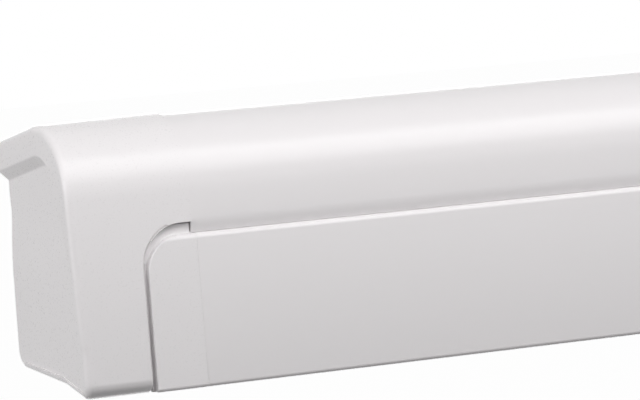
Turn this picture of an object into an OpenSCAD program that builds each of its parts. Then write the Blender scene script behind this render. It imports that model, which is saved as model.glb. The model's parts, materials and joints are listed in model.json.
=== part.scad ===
// Wall-mounted cassette awning for a caravan: a roller with its canopy and two folding
// spring arms sit in an aluminium case, and the lead bar that closes the case carries two
// telescopic support legs.
// X runs along the case, the wall is the plane Y = 0, the canopy rolls out towards -Y, +Z is up.
// Section drawings use u, the distance forward of the case's back, and w, the height above the
// lead bar's lower edge.

/* [Case] */
// Overall length over both end caps
case_length = 2600; // [2300:50:3600]
// Overall height, from the lead bar's lower edge to the crest of the hood
case_height = 130; // [126:1:150]
// Radius of the hood between crest and front
hood_radius = 36; // [30:1:40]
// Distance from the case's back to the front of the hood
hood_depth = 88; // [86:1:96]
// Slope of the hood's top from the crest back to the wall, in degrees
top_pitch = 10; // [4:1:14]
// Wall of the case profile
case_wall = 2; // [1.6:0.1:2.6]
// Gap between the hood's lower front edge and the lead bar
seam_gap = 0.4; // [0.3:0.1:1.2]
// Radius of the upper rear corner
back_radius = 8; // [6:1:10]
// Height of the underside of the case's floor
floor_w = 10.5; // [9:0.5:12]
// Distance from the case's back to the floor's front edge
floor_depth = 56; // [50:1:57]

/* [End caps] */
// Length of an end cap along the case
cap_length = 63; // [58:1:80]
// How far an end cap stands proud of the case profile
cap_proud = 1; // [0.8:0.1:1.6]
// Wall of the end caps
cap_wall = 2.2; // [1.6:0.1:3]
// Height of the raised rim above the cap's side panel
rim_height = 4; // [2:0.5:6]
// Chamfer round a cap's end
cap_chamfer = 2; // [1:0.5:3]
// Width of the raised rim under the hood
rim_width = 15; // [10:1:18]
// Width of the cap's front face beside the lead bar
cap_front = 37; // [35:1:44]
// Corner radius of the cut-out that takes the lead bar
notch_radius = 20; // [10:1:26]

/* [Lead bar] */
// Height of the lead bar
bar_height = 74; // [73:0.5:74.5]
// Wall of the lead bar profile
bar_wall = 2; // [1.6:0.1:2.4]
// How much further forward the lead bar's lower edge is than its upper edge
bar_lean = 2.2; // [0:0.1:3]
// Length of the lead bar's end caps that shows
bar_cap_length = 26.5; // [20:0.5:32]
// Height of the web over the leg channel
web_w = 50; // [50:0.5:50.5]
// Distance from the case's back to the lead bar's rear wall
bar_rear = 62; // [61:0.5:63]

/* [Arms] */
// Distance between the two elbows' pivots when the arms are folded
elbow_gap = 90; // [70:5:400]
// Fall of the arms' plane, in degrees
arm_pitch = 8; // [4:1:9]
// Width of the arm tubes
arm_width = 20; // [16:1:20]
// Height of the arm tubes
arm_height = 30; // [28:1:31]
// Wall of the arm tubes
arm_wall = 2; // [1.5:0.1:2.5]
// Radius of the arms' pivot pins
arm_pin_r = 4.5; // [3.5:0.1:5]
// Distance of the shoulder pivot from the end of the case
shoulder_inset = 105; // [100:1:120]

/* [Roller] */
// Outer radius of the roller tube
roller_r = 24; // [20:0.5:25]
// Wall of the roller tube
roller_wall = 2; // [1.2:0.1:3]
// Radius of the canopy wound on the roller
roll_r = 29.6; // [27:0.1:30]
// Thickness of the canopy cloth
cloth_t = 1; // [0.6:0.1:1.2]

/* [Legs] */
// Thickness of a leg tube
leg_thick = 12; // [11:0.1:12]
// Height of a leg tube
leg_high = 28; // [24:0.5:28]
// Wall of the leg tubes
leg_wall = 1.4; // [1:0.1:1.6]
// Length of the outer leg tube
leg_tube_length = 1130; // [700:10:1130]
// Radius of the leg pivot pins
leg_pin_r = 4; // [3:0.1:5]

/* [Wall brackets] */
// Thickness of a bracket's plate, which is also the gap behind the case
bracket_t = 5; // [4:0.5:8]
// Width of a bracket
bracket_width = 90; // [70:1:120]
// Distance between the screw holes along the case
hole_pitch_x = 60; // [40:1:60]
// Distance between the screw holes in height
hole_pitch_w = 44; // [30:1:46]
// Radius of the wall screw holes
hole_r = 3.25; // [2.5:0.05:4]
// Distance of the outer brackets from the ends of the case
bracket_inset = 400; // [300:10:700]

/* [Crank] */
// Radius of the crank shaft
crank_r = 5; // [4:0.1:6]
// Radius of the hole in the crank eye
eye_r = 8; // [6:0.1:10]

/* [Hidden] */
$fn = 64;
fit = 0.1;             // gap between pieces that slip together
run = 0.05;            // running gap of a pin in its bore
press = 0.02;          // gap of a pin in the ears that hold it
seat = 0.3;            // gap that keeps neighbouring bodies apart
blend = 0.03;          // height of an arc over the flats that run into it
clear = 20;            // how far a cut runs past what it cuts
reach = 2 * case_height + clear;   // size of a cut that has no end
mount_w = 60;          // height of the wall screws' centre, which is Z = 0
case_half = case_length / 2;
crest_u = hood_depth - hood_radius;
crest_w = case_height - hood_radius;
seam_w = bar_height + seam_gap;       // height of the hood's lower edge
corner_r = 8;          // lower back corner of the case
rear_fall = hood_radius - back_radius - (crest_u - back_radius) * sin(top_pitch);
rear_corner = [back_radius, crest_w + rear_fall / cos(top_pitch)];   // centre of the upper rear corner
plate_t = 6;           // thickness of the cast end plates
profile_inset = 48;    // from the end of the case to the end of its profile
profile_half = case_half - profile_inset;
floor_lip = 4;
roller_u = 40;
roller_drop = 35;      // from the crest down to the roller's axis
roller_w = case_height - roller_drop;
roller_gap = 8;
roller_half = profile_half - roller_gap;
roller_flange = 3;
roller_plug_length = 30;

// Back rail that hangs on the wall brackets
rail_depth = 7;
rail_low = 90;
rail_high = 108;
rail_lip = 2.5;
rail_lip_w = 97.5;
hook_t = 3;
bracket_pitch = case_half - bracket_inset;
lock_u = 15;           // screw that locks the floor to a bracket
lock_r = 2.5;
lock_head_t = 3.5;
tab_depth = 21;
tab_t = 5;
hook_play = 0.8;

// Hood's lower edge, which bends inwards, and the flange and seal behind it
bend_r = 20;
bend_height = 9;
bend_depth = bend_r - sqrt(bend_r * bend_r - bend_height * bend_height);
flange_depth = 10;
seal_drop = 2.5;
seal_width = 5;

// Screw ports inside the profile, as [u, w]
port_r = 4.2;
port_bore = 2;
port_sink = 0.3;       // how far a port is let into the wall
port_head_r = 3.4;
port_head_t = 2.4;
port_screw_length = 24;
ports = [
    [case_wall + port_r - port_sink, floor_w + case_wall + port_r - port_sink],
    [case_wall + port_r - port_sink, rail_high + case_wall + port_r - port_sink],
    [hood_depth - case_wall - port_r + port_sink, crest_w + 3]
];

// End cap
cap_in = case_half - cap_length;      // inner edge of a cap
notch_x = case_half - cap_front;      // edge of the lead bar's cut-out
notch_rise = 5.2;                     // room over the lead bar's cap in the cut-out
notch_w = bar_height + seam_gap + notch_rise;
cap_floor = floor_w - cap_proud;
lip_r = 7;
lip_start = 60;                       // where the cap's bottom starts to dip
cap_front_u = hood_depth + cap_proud;
panel_r = hood_radius + cap_proud - rim_width;
panel_low = 45;                       // where the rim runs out down the front
overrun = 0.6;                        // how far an edge's section runs past the edge
panel_tangent = [crest_u - panel_r * sin(top_pitch), crest_w + panel_r * cos(top_pitch)];
panel_back = [-clear, panel_tangent[1] - (panel_tangent[0] + clear) * tan(top_pitch)];
panel_front = [crest_u + panel_r, crest_w];
panel_end = [cap_front_u + bar_lean, panel_low];
pocket_u = floor_depth + 2;           // plane behind the lead bar's pocket
cap_rest_x = profile_half + plate_t + 1;   // where a cap's sleeve ends, past the end plate
cap_bed_r = crank_r + 1.5;            // hole for the crank shaft

// Lead bar
bar_front = hood_depth + 1.5;
bar_gap = 1.5;                        // gap between the cut-out's edge and the lead bar
bar_half = notch_x - bar_gap;         // half length over the lead bar's caps
bar_profile_half = bar_half - bar_cap_length;
bar_round = 3;
bead_height = 3;
bar_cap_proud = 0.6;
bar_corner = notch_radius - 2;
rib_gap = 0.4;                        // gap between a lead cap's rib and the cut-out
rib_inset = 2.5;                      // how far a rib lies behind the lead bar's front
rib_u = bar_front - rib_inset - cap_wall;
plug_length = 25;

// Arms, in a frame at the shoulder pivot with +X towards the elbow and Z along the pivots
shoulder_x = case_half - shoulder_inset;
shoulder_u = 21;
shoulder_w = 38;
link_gap = 3;
link_offset = arm_width + link_gap;   // from the rear tube to the front tube when folded
half_offset = link_offset / 2;
elbow_x = shoulder_x - elbow_gap / 2;
knuckle_r = 10.5;
knuckle_h = 22;
collar_start = 18;
collar_end = 26;
arm_round = 4;
arm_plug = 35;
elbow_r = 11.5;
elbow_back = 22;                      // from the elbow pivot back to the fork's crotch
elbow_root = 46;
lug_angle = 15;
tongue_h = 16;
ear_gap = 0.4;
ear_t = 4.5;
pivot_half = knuckle_h / 2 + ear_gap + ear_t;
shoulder_tail = 28;
shoulder_foot = 8;
shoulder_rise = 22;
ear_low = tongue_h / 2 + ear_gap;
ear_high = arm_height / 2;
pin_head_r = arm_pin_r + 3;
pin_head_t = 1.6;
spring_start = 60;
spring_length = 320;
spring_wire = 2.4;
spring_r = min(arm_width, arm_height) / 2 - arm_wall - 0.2;

// Legs, drawn from the pivot with +X along the leg
leg_w = 30;
leg_inset = 65;                       // from an arm's pivot to the leg's
leg_x = shoulder_x - leg_inset;
track_gap = 1.8;
track_rear = bar_rear - 1.4 + leg_thick / 2;
track_front = track_rear + leg_thick + track_gap;
leg_start = 16;
leg_nose = leg_high / 2;
leg_round = 3;
clip_length = 24;
clip_t = 1.2;
clip_base = 3;
clip_drop = 8;                        // how far a clip's leaf reaches below a leg's middle
bracket_room = 1.5;                   // from a leg's knuckle to the bracket over it
leg_plug = 40;
collar_length = 30;
collar_x = leg_start + leg_tube_length;
inner_start = 70;
inner_end = collar_x + collar_length + 14;
inner_gap = 0.2;
inner_wall = 1.2;
inner_round = 1.6;
tip_plug = 16;
inner_thick = leg_thick - 2 * (leg_wall + inner_gap);
inner_high = leg_high - 2 * (leg_wall + inner_gap);
foot_pin_x = inner_end + 9;
foot_pin_r = 2;
foot_tip_r = 5;
foot_tip_t = 4;
foot_ear_t = 1.8;
foot_pad_t = 5;
foot_pad_gap = 4;
lever_x = collar_x + collar_length / 2;
lever_drop = leg_high / 2 + 2.5;
lever_pin_r = 1.5;
lever_hub_r = 2.4;
lug_half = 6;
lever_w = 6;
lever_length = 42;
lever_t = 3;

// Canopy and keder groove
keder_r = 2.9;
keder_bore = keder_r + seat;
keder_wall = 1.9;
keder_slot = 3.2;
keder_u = bar_rear + keder_wall;
roll_low = [roller_u - roll_r * sin(arm_pitch), roller_w - roll_r * cos(arm_pitch)];
cloth_drop = (seat + cloth_t / 2) / cos(arm_pitch);
keder_w = roll_low[1] - cloth_drop - (keder_u - roll_low[0]) * tan(arm_pitch);
cloth_inset = 42;
cloth_half = profile_half - cloth_inset;

// Gear and crank
gear_x = case_half - 23;
gear_offset = 22;
gear_u = roller_u + gear_offset;
gear_r = 21;
gear_sleeve_r = 11;
gear_start = profile_half + plate_t;
gear_end = case_half - rim_height - cap_wall - 3;
drive_r = 8;
idler_r = 6;
bush_r = 9;
bush_flange = 4;
gear_low = 29;                        // from the roller's axis down to the end of the crank's sleeve
gear_top = 20;
gear_skin = 5;
eye_outer = eye_r + 6;
eye_t = 6;
eye_w = -22;

// Placing helpers

// Extrudes a section drawn in u and w from x0 to x1.
module along_x(x0, x1) {
    translate([x1, -bracket_t, -mount_w])
        rotate([90, 0, -90])
            linear_extrude(x1 - x0) children();
}

// A block given by its limits in x, u and w.
module block(x, u, w) {
    translate([x[0], -bracket_t - u[1], w[0] - mount_w])
        cube([x[1] - x[0], u[1] - u[0], w[1] - w[0]]);
}

// A rod along X at a place in the section.
module rod_x(x0, x1, u, w, r) {
    along_x(x0, x1) translate([u, w]) circle(r);
}

// A rod along u.
module rod_u(x, u0, u1, w, r) {
    translate([x, -bracket_t - u0, w - mount_w]) rotate([90, 0, 0]) cylinder(r = r, h = u1 - u0);
}

// A rod along w.
module rod_w(x, u, w0, w1, r) {
    translate([x, -bracket_t - u, w0 - mount_w]) cylinder(r = r, h = w1 - w0);
}

// Left pieces are drawn as they are, and right ones are their mirror image.
module on_side(side) {
    if (side == "left") children();
    else mirror([1, 0, 0]) children();
}

// Frame of the left arm.
module arm_frame() {
    translate([-shoulder_x, -bracket_t - shoulder_u, shoulder_w - mount_w])
        rotate([arm_pitch, 0, 0]) children();
}

// Frame of a leg, whose pivot runs along u through the middle of its track.
module leg_frame(track) {
    translate([-leg_x, -bracket_t - track, leg_w - mount_w]) children();
}

// A flat shape between two heights of the arm frame.
module slab(z0, z1) {
    translate([0, 0, z0]) linear_extrude(z1 - z0) children();
}

module rounded_rect(a, b, r) {
    square([a - 2 * r, b], center = true);
    square([a, b - 2 * r], center = true);
    for (i = [-1, 1], j = [-1, 1])
        translate([i * (a / 2 - r), j * (b / 2 - r)]) circle(r);
}

// A bar of rounded section a wide and b high, from x0 to x1 about the X axis.
module bar_x(x0, x1, a, b, r) {
    translate([x1, 0, 0]) rotate([90, 0, -90]) linear_extrude(x1 - x0) rounded_rect(a, b, r);
}

// Quarter plane right of and below the origin, with its corner rounded.
module corner_plan(r) {
    union() {
        translate([r, -r]) circle(r + blend);
        translate([r, -reach]) square([reach, reach]);
        translate([0, -reach]) square([reach, reach - r]);
    }
}

module tube_x(x0, x1, a, b, r, wall) {
    difference() {
        bar_x(x0, x1, a, b, r);
        bar_x(x0 - 1, x1 + 1, a - 2 * wall, b - 2 * wall, max(r - wall, 0.4));
    }
}

// Sections

// Outline of the case from floor to hood, moved inwards by inset.
module case_outline(inset) {
    r = hood_radius - inset;
    tangent = [crest_u - r * sin(top_pitch), crest_w + r * cos(top_pitch)];
    rear_r = back_radius - inset;
    rear = rear_corner;
    corner = [corner_r, floor_w + corner_r];
    union() {
        translate([crest_u, crest_w]) circle(r + blend);
        translate(rear) circle(rear_r + blend);
        translate(corner) circle(corner_r - inset + blend);
        polygon([
            corner, [corner[0], floor_w + inset], [crest_u + r, floor_w + inset],
            [crest_u + r, crest_w], [crest_u, crest_w], tangent,
            rear + rear_r * [-sin(top_pitch), cos(top_pitch)], rear, [inset, rear[1]], [inset, corner[1]]
        ]);
    }
}

// Outline of an end cap, which also covers the end of the lead bar.
module cap_outline(inset) {
    front = cap_front_u - inset;
    lip = [cap_front_u + bar_lean - lip_r, lip_r];
    union() {
        case_outline(inset - cap_proud);
        translate(lip) circle(lip_r - inset + blend);
        polygon([
            [lip_start, cap_floor + inset], [lip[0], inset], lip, [front + bar_lean, lip[1]],
            [front, crest_w], [lip_start, crest_w]
        ]);
    }
}

// Recessed side panel of an end cap: a band of rim_width stays under the hood.
module panel_outline() {
    union() {
        translate([crest_u, crest_w]) circle(panel_r + blend);
        polygon([
            [panel_back[0], -clear], [panel_end[0], -clear], panel_end, panel_front,
            [crest_u, crest_w], panel_tangent, panel_back
        ]);
    }
}

// Frame on a cap's end with X along u, Y along w and Z out of the end.
module at_end() {
    translate([-case_half, -bracket_t, -mount_w]) rotate([90, 0, -90]) children();
}

// Draws a section along a straight edge of the end from a to b, with the section's X to the left.
module edge_run(a, b) {
    translate(a) rotate(atan2(b[1] - a[1], b[0] - a[0])) rotate([90, 0, 90])
        translate([0, 0, -overrun]) linear_extrude(norm(b - a) + 2 * overrun) children();
}

// Draws a section round an arc of the end, with the section's X away from the centre.
module edge_turn(centre, r, from, to) {
    turn = to - from;
    translate(centre) rotate(from) intersection() {
        rotate_extrude() translate([r, 0]) children();
        translate([0, 0, -clear]) linear_extrude(2 * clear) polygon([
            [0, 0], [reach, 0], 2 * reach * [cos(turn / 2), sin(turn / 2)], reach * [cos(turn), sin(turn)]
        ]);
    }
}

// Tilts the lower part of a cap's end, so that the rim falls back to the side panel.
module rim_fall() {
    translate([-case_half, 0, crest_w - mount_w])
        rotate([0, -atan(rim_height / (crest_w - cap_floor)), 0])
            translate([case_half, 0, mount_w - crest_w]) children();
}

// Sloping side of the rim, outside the panel's edge.
module slope_section() {
    polygon([[-1, -rim_height], [0, -rim_height], [rim_height + 1, 1], [-1, 1]]);
}

// What a chamfered edge leaves away.
module chamfer_section() {
    far = cap_chamfer + 1;
    polygon([[-far, 1], [1, -far], [1, 1]]);
}

// Breaks the edge all round a cap's end.
module end_chamfer() {
    hood = [crest_u, crest_w];
    slope = [-sin(top_pitch), cos(top_pitch)];
    hood_r = hood_radius + cap_proud;
    rear_r = back_radius + cap_proud;
    foot = [cap_front_u + bar_lean, 0];
    at_end() {
        edge_run([-cap_proud, crest_w], [-cap_proud, rear_corner[1]]) chamfer_section();
        edge_turn(rear_corner, rear_r, 90 + top_pitch, 180) chamfer_section();
        edge_run(rear_corner + rear_r * slope, hood + hood_r * slope) chamfer_section();
        edge_turn(hood, hood_r, 0, 90 + top_pitch) chamfer_section();
    }
    rim_fall() at_end() {
        edge_run([cap_front_u, crest_w], foot) chamfer_section();
        edge_run(foot, [lip_start, cap_floor]) chamfer_section();
        edge_run([lip_start, cap_floor], [-clear, cap_floor]) chamfer_section();
    }
}

module profile_section() {
    difference() {
        union() {
            difference() {
                case_outline(0);
                case_outline(case_wall);
                translate([hood_depth - bend_r, 0]) square([reach, seam_w + bend_height]);
            }
            // hood's lower edge
            intersection() {
                translate([hood_depth - bend_r, seam_w + bend_height]) difference() {
                    circle(bend_r);
                    circle(bend_r - case_wall);
                }
                translate([hood_depth - bend_r, seam_w]) square([bend_r + 1, bend_height]);
            }
            // flange that carries the seal
            translate([hood_depth - flange_depth, seam_w + seal_drop])
                square([flange_depth - 0.75 * case_wall, case_wall]);
            // upturned edge of the floor
            translate([floor_depth - case_wall, floor_w]) square([case_wall, floor_lip]);
            // hanging rail
            translate([0, rail_low - case_wall])
                square([rail_depth + case_wall, rail_high - rail_low + 2 * case_wall]);
            intersection() {
                case_outline(0);
                for (p = ports) translate(p) circle(port_r);
            }
        }
        // opening that the lead bar closes
        translate([floor_depth, -clear]) square([reach, seam_w + clear]);
        // rail's pocket, behind its lip
        translate([rail_lip, rail_low]) square([rail_depth - rail_lip, rail_high - rail_low]);
        translate([-1, rail_low]) square([rail_lip + 2, rail_lip_w - rail_low]);
        for (p = ports) translate(p) circle(port_bore);
    }
}

// Front face of the lead bar at height w.
function front_at(w) = bar_front + bar_lean * (1 - w / bar_height);

// Outside of the lead bar, with its upper front edge rounded, from height low up.
module bar_outline(low, proud) {
    top = bar_height - bar_round;
    union() {
        polygon([
            [bar_rear, low], [front_at(low) + proud, low], [front_at(top) + proud, top], [bar_rear, top]
        ]);
        translate([bar_rear, low]) square([front_at(top) + proud - bar_round - bar_rear, bar_height - low]);
        translate([front_at(top) + proud - bar_round, top]) circle(bar_round + blend);
    }
}

module bar_section() {
    inner_top = bar_height - bar_wall;
    difference() {
        union() {
            bar_outline(web_w, 0);
            // front wall beside the leg channel, with a bead along its lower edge
            polygon([
                [front_at(0) - bar_wall, 0], [front_at(0), 0],
                [front_at(web_w + 1), web_w + 1], [front_at(web_w + 1) - bar_wall, web_w + 1]
            ]);
            translate([front_at(0) - bar_wall - 1, 0]) square([bar_wall, bead_height]);
            translate([keder_u, keder_w]) circle(keder_bore + keder_wall);
        }
        difference() {
            polygon([
                [bar_rear + bar_wall, web_w + bar_wall], [front_at(web_w) - bar_wall, web_w + bar_wall],
                [front_at(inner_top) - bar_wall, inner_top], [bar_rear + bar_wall, inner_top]
            ]);
            translate([keder_u, keder_w]) circle(keder_bore + keder_wall);
        }
        translate([keder_u, keder_w]) circle(keder_bore);
        translate([keder_u - clear, keder_w - keder_slot / 2]) square([clear, keder_slot]);
    }
}

// Case

module cassette_profile() {
    color("gainsboro") difference() {
        along_x(-profile_half, profile_half) profile_section();
        for (i = [-1:1])
            rod_w(i * bracket_pitch, lock_u, floor_w - 1, floor_w + case_wall + 1, lock_r + fit);
        // hood's lower edge, cut back for the ribs of the lead bar's caps
        for (side = ["left", "right"]) on_side(side)
            block([-profile_half - 1, -cap_in], [floor_depth, reach], [-clear, notch_w + case_wall]);
    }
}

module end_cap(side) {
    on_side(side) color("whitesmoke") difference() {
        along_x(-case_half, -cap_in) cap_outline(0);
        // side panel, and the slope that leads up to the rim
        along_x(-case_half - 1, -case_half + rim_height) panel_outline();
        at_end() {
            edge_run(panel_back, panel_tangent) slope_section();
            edge_run(panel_front, panel_end) slope_section();
        }
        translate([-case_half, -bracket_t - crest_u, crest_w - mount_w]) rotate([0, 90, 0])
            cylinder(r1 = panel_r + rim_height, r2 = panel_r, h = rim_height);
        // rim that falls back to the panel towards the bottom
        rim_fall() translate([-case_half - clear, -reach, crest_w - mount_w - reach])
            cube([clear, 2 * reach, reach]);
        end_chamfer();
        // inside, with a wall left beside the lead bar's pocket
        difference() {
            along_x(-case_half + rim_height + cap_wall, -cap_rest_x) cap_outline(cap_wall);
            block([-notch_x - cap_wall, 0], [pocket_u, reach], [-clear, notch_w + cap_wall]);
        }
        along_x(-cap_rest_x - fit, -cap_in + 1) case_outline(-fit);
        // cut-out for the lead bar
        translate([-notch_x, -bracket_t - pocket_u, notch_w - mount_w]) rotate([90, 0, 0])
            linear_extrude(reach) corner_plan(notch_radius);
        if (side == "right") rod_w(-gear_x, gear_u, -clear, notch_w / 2, cap_bed_r);
    }
}

module end_plate(side) {
    on_side(side) color("silver") difference() {
        along_x(-profile_half - plate_t, -profile_half) difference() {
            case_outline(case_wall + seat);
            translate([floor_depth, -clear]) square([reach, notch_w + clear + seat]);
            for (p = ports) translate(p) circle(port_bore + seat);
        }
        rod_x(-case_half, -profile_half + 1, roller_u, roller_w,
            side == "left" ? bush_r + fit / 2 : drive_r + 2 * seat);
    }
}

// Screw along X with its head at x0.
module port_screw(p) {
    x0 = -profile_half - plate_t;
    rod_x(x0 - port_head_t, x0, p[0], p[1], port_head_r);
    rod_x(x0 - 1, x0 + port_screw_length, p[0], p[1], port_bore - run);
}

module case_screws() {
    color("dimgray") {
        for (side = ["left", "right"], p = ports) on_side(side) port_screw(p);
        for (i = [-1:1]) {
            rod_w(i * bracket_pitch, lock_u, floor_w - tab_t - lock_head_t, floor_w - tab_t, 2 * lock_r);
            rod_w(i * bracket_pitch, lock_u, floor_w - tab_t - 1, floor_w + case_wall + 3, lock_r);
        }
    }
}

module wall_bracket(i) {
    x = i * bracket_pitch;
    span = [x - bracket_width / 2, x + bracket_width / 2];
    shelf_w = rail_lip_w - fit;
    hook_u = rail_depth - hook_play;
    color("silver") difference() {
        union() {
            block(span, [-bracket_t, -fit / 2], [floor_w - tab_t, shelf_w]);
            block(span, [-bracket_t, hook_u], [shelf_w - hook_t, shelf_w]);
            block(span, [hook_u - hook_t, hook_u], [shelf_w - hook_t, rail_high - 2]);
            block(span, [-bracket_t, tab_depth], [floor_w - tab_t, floor_w - fit]);
        }
        for (a = [-1, 1], b = [-1, 1]) {
            hole_x = x + a * hole_pitch_x / 2;
            hole_z = b * hole_pitch_w / 2;
            rod_u(hole_x, -bracket_t - 1, 1, mount_w + hole_z, hole_r);
            // countersink from the front
            translate([hole_x, hole_r - bracket_t, hole_z]) rotate([90, 0, 0])
                cylinder(r1 = hole_r, r2 = 2 * hole_r, h = hole_r);
        }
        rod_w(x, lock_u, floor_w - tab_t - 1, floor_w + 1, lock_r + fit);
    }
}

// A shape repeated above and below an arm's knuckle.
module pivot_ears() {
    low = knuckle_h / 2 + ear_gap;
    slab(low, pivot_half) children();
    slab(-pivot_half, -low) children();
}

module shoulder_bracket(side) {
    on_side(side) color("silver") difference() {
        union() {
            block([-shoulder_x - shoulder_tail, -shoulder_x + knuckle_r + 2.5], [case_wall, shoulder_foot],
                [floor_w + case_wall + 2 * port_r + seat, shoulder_w + shoulder_rise]);
            arm_frame() pivot_ears() {
                circle(knuckle_r);
                translate([-knuckle_r, 0]) square([2 * knuckle_r, shoulder_u - shoulder_foot + 2]);
            }
        }
        arm_frame() cylinder(r = arm_pin_r + press, h = reach, center = true);
    }
}

// Pin with two heads over a stack that is 2 * half high.
module pivot_pin(half) {
    cylinder(r = arm_pin_r, h = 2 * half, center = true);
    for (s = [-1, 1]) translate([0, 0, s * (half + pin_head_t / 2)])
        cylinder(r = pin_head_r, h = pin_head_t, center = true);
}

module shoulder_pins() {
    color("dimgray") for (side = ["left", "right"]) on_side(side)
        arm_frame() pivot_pin(pivot_half);
}

module hood_seal() {
    u1 = hood_depth - case_wall - bend_depth - seat;
    color("dimgray") block([-bar_profile_half, bar_profile_half], [u1 - seal_width, u1],
        [bar_height + seat, seam_w + seal_drop]);
}

module roller_bush() {
    x1 = -profile_half + bush_flange;
    color("black") difference() {
        union() {
            rod_x(-profile_half - plate_t, x1, roller_u, roller_w, bush_r);
            rod_x(-profile_half, x1, roller_u, roller_w, bush_r + bush_flange);
        }
        rod_x(-case_half, 0, roller_u, roller_w, idler_r + run);
    }
}

module gear_housing() {
    color("dimgray") difference() {
        union() {
            rod_x(gear_start, gear_end, roller_u, roller_w, gear_r);
            rod_w(gear_x, gear_u, roller_w - gear_low, roller_w + gear_top, gear_sleeve_r);
            block([gear_start, gear_end - 4], [roller_u, gear_u], [roller_w - 7, roller_w + gear_top - 4]);
        }
        rod_x(gear_start - 1, gear_end - gear_skin - 1, roller_u, roller_w, drive_r + run);
        rod_w(gear_x, gear_u, -clear, roller_w + gear_top - gear_skin, crank_r + run);
    }
}

// Roller

module roller_tube() {
    color("silver") difference() {
        rod_x(-roller_half, roller_half, roller_u, roller_w, roller_r);
        rod_x(-profile_half, profile_half, roller_u, roller_w, roller_r - roller_wall);
    }
}

module roller_plug(shaft_r, shaft_from) {
    rod_x(-roller_half - roller_flange, -roller_half, roller_u, roller_w, roller_r);
    rod_x(-roller_half - 1, -roller_half + roller_plug_length, roller_u, roller_w,
        roller_r - roller_wall - fit);
    rod_x(shaft_from, -roller_half - 1, roller_u, roller_w, shaft_r);
}

module roller_idler_plug() {
    color("black") roller_plug(idler_r, -profile_half - plate_t - 3);
}

module roller_drive_plug() {
    color("black") mirror([1, 0, 0]) roller_plug(drive_r, -gear_end + gear_skin + 2);
}

module canopy_roll() {
    color("lightslategray") difference() {
        rod_x(-cloth_half, cloth_half, roller_u, roller_w, roll_r);
        rod_x(-case_half, case_half, roller_u, roller_w, roller_r + fit);
    }
}

module crank_eye() {
    color("silver") difference() {
        union() {
            rod_w(gear_x, gear_u, eye_w + eye_r + 2, roller_w + gear_top - gear_skin - 3, crank_r);
            rod_u(gear_x, gear_u - eye_t / 2, gear_u + eye_t / 2, eye_w, eye_outer);
        }
        rod_u(gear_x, gear_u - clear, gear_u + clear, eye_w, eye_r);
    }
}

// Arms

// Plug that goes into an arm's tube.
module arm_insert(x0, x1) {
    gap = arm_wall + fit;
    bar_x(x0, x1, arm_width - 2 * gap, arm_height - 2 * gap, arm_round - gap);
}

// Knuckle with its pivot at the origin.
module arm_knuckle() {
    difference() {
        union() {
            cylinder(r = knuckle_r, h = knuckle_h, center = true);
            translate([0, -knuckle_r, -knuckle_h / 2])
                cube([collar_start + 1, 2 * knuckle_r, knuckle_h]);
            bar_x(collar_start, collar_end, arm_width, arm_height, arm_round);
            arm_insert(collar_end - 1, collar_end + arm_plug);
        }
        cylinder(r = arm_pin_r + run, h = reach, center = true);
    }
}

module arm_tube() {
    tube_x(collar_end, elbow_x - elbow_root, arm_width, arm_height, arm_round, arm_wall);
}

// End of an arm's tube towards the elbow.
module elbow_root_block() {
    bar_x(elbow_x - elbow_root, elbow_x - elbow_back, arm_width, arm_height, arm_round);
    arm_insert(elbow_x - elbow_root - arm_plug, elbow_x - elbow_root + 1);
}

module elbow_lug() {
    translate([elbow_x, -half_offset]) circle(elbow_r);
    root = elbow_x - elbow_back - 1;
    polygon([
        [root, -arm_width / 2], [elbow_x - elbow_r, -half_offset], [elbow_x, -half_offset],
        [elbow_x + elbow_r * sin(lug_angle), elbow_r * cos(lug_angle) - half_offset], [root, arm_width / 2]
    ]);
}

module elbow_bore(gap) {
    translate([elbow_x, -half_offset, 0]) cylinder(r = arm_pin_r + gap, h = reach, center = true);
}

module elbow_fork(side) {
    on_side(side) color("silver") arm_frame() difference() {
        union() {
            elbow_root_block();
            slab(ear_low, ear_high) elbow_lug();
            slab(-ear_high, -ear_low) elbow_lug();
        }
        elbow_bore(press);
    }
}

module elbow_tongue(side) {
    on_side(side) color("silver") arm_frame() translate([0, -link_offset, 0]) mirror([0, 1, 0])
        difference() {
            union() {
                elbow_root_block();
                slab(-tongue_h / 2, tongue_h / 2) elbow_lug();
            }
            elbow_bore(run);
        }
}

module elbow_pin(side) {
    on_side(side) color("dimgray") arm_frame() translate([elbow_x, -half_offset, 0])
        pivot_pin(ear_high);
}

module shoulder_knuckle(side) {
    on_side(side) color("silver") arm_frame() arm_knuckle();
}

module upper_tube(side) {
    on_side(side) color("whitesmoke") arm_frame() arm_tube();
}

module forearm_tube(side) {
    on_side(side) color("whitesmoke") arm_frame() translate([0, -link_offset, 0]) arm_tube();
}

module wrist_knuckle(side) {
    on_side(side) color("silver") arm_frame() translate([0, -link_offset, 0]) arm_knuckle();
}

module arm_spring(side) {
    x0 = collar_end + arm_plug + spring_start;
    on_side(side) color("gray") arm_frame() translate([x0, -link_offset, 0]) rotate([0, 90, 0])
        difference() {
            cylinder(r = spring_r, h = spring_length);
            translate([0, 0, -1]) cylinder(r = spring_r - spring_wire, h = spring_length + 2);
        }
}

// Lead bar

module lead_bar_profile() {
    color("gainsboro") along_x(-bar_profile_half, bar_profile_half) bar_section();
}

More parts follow.
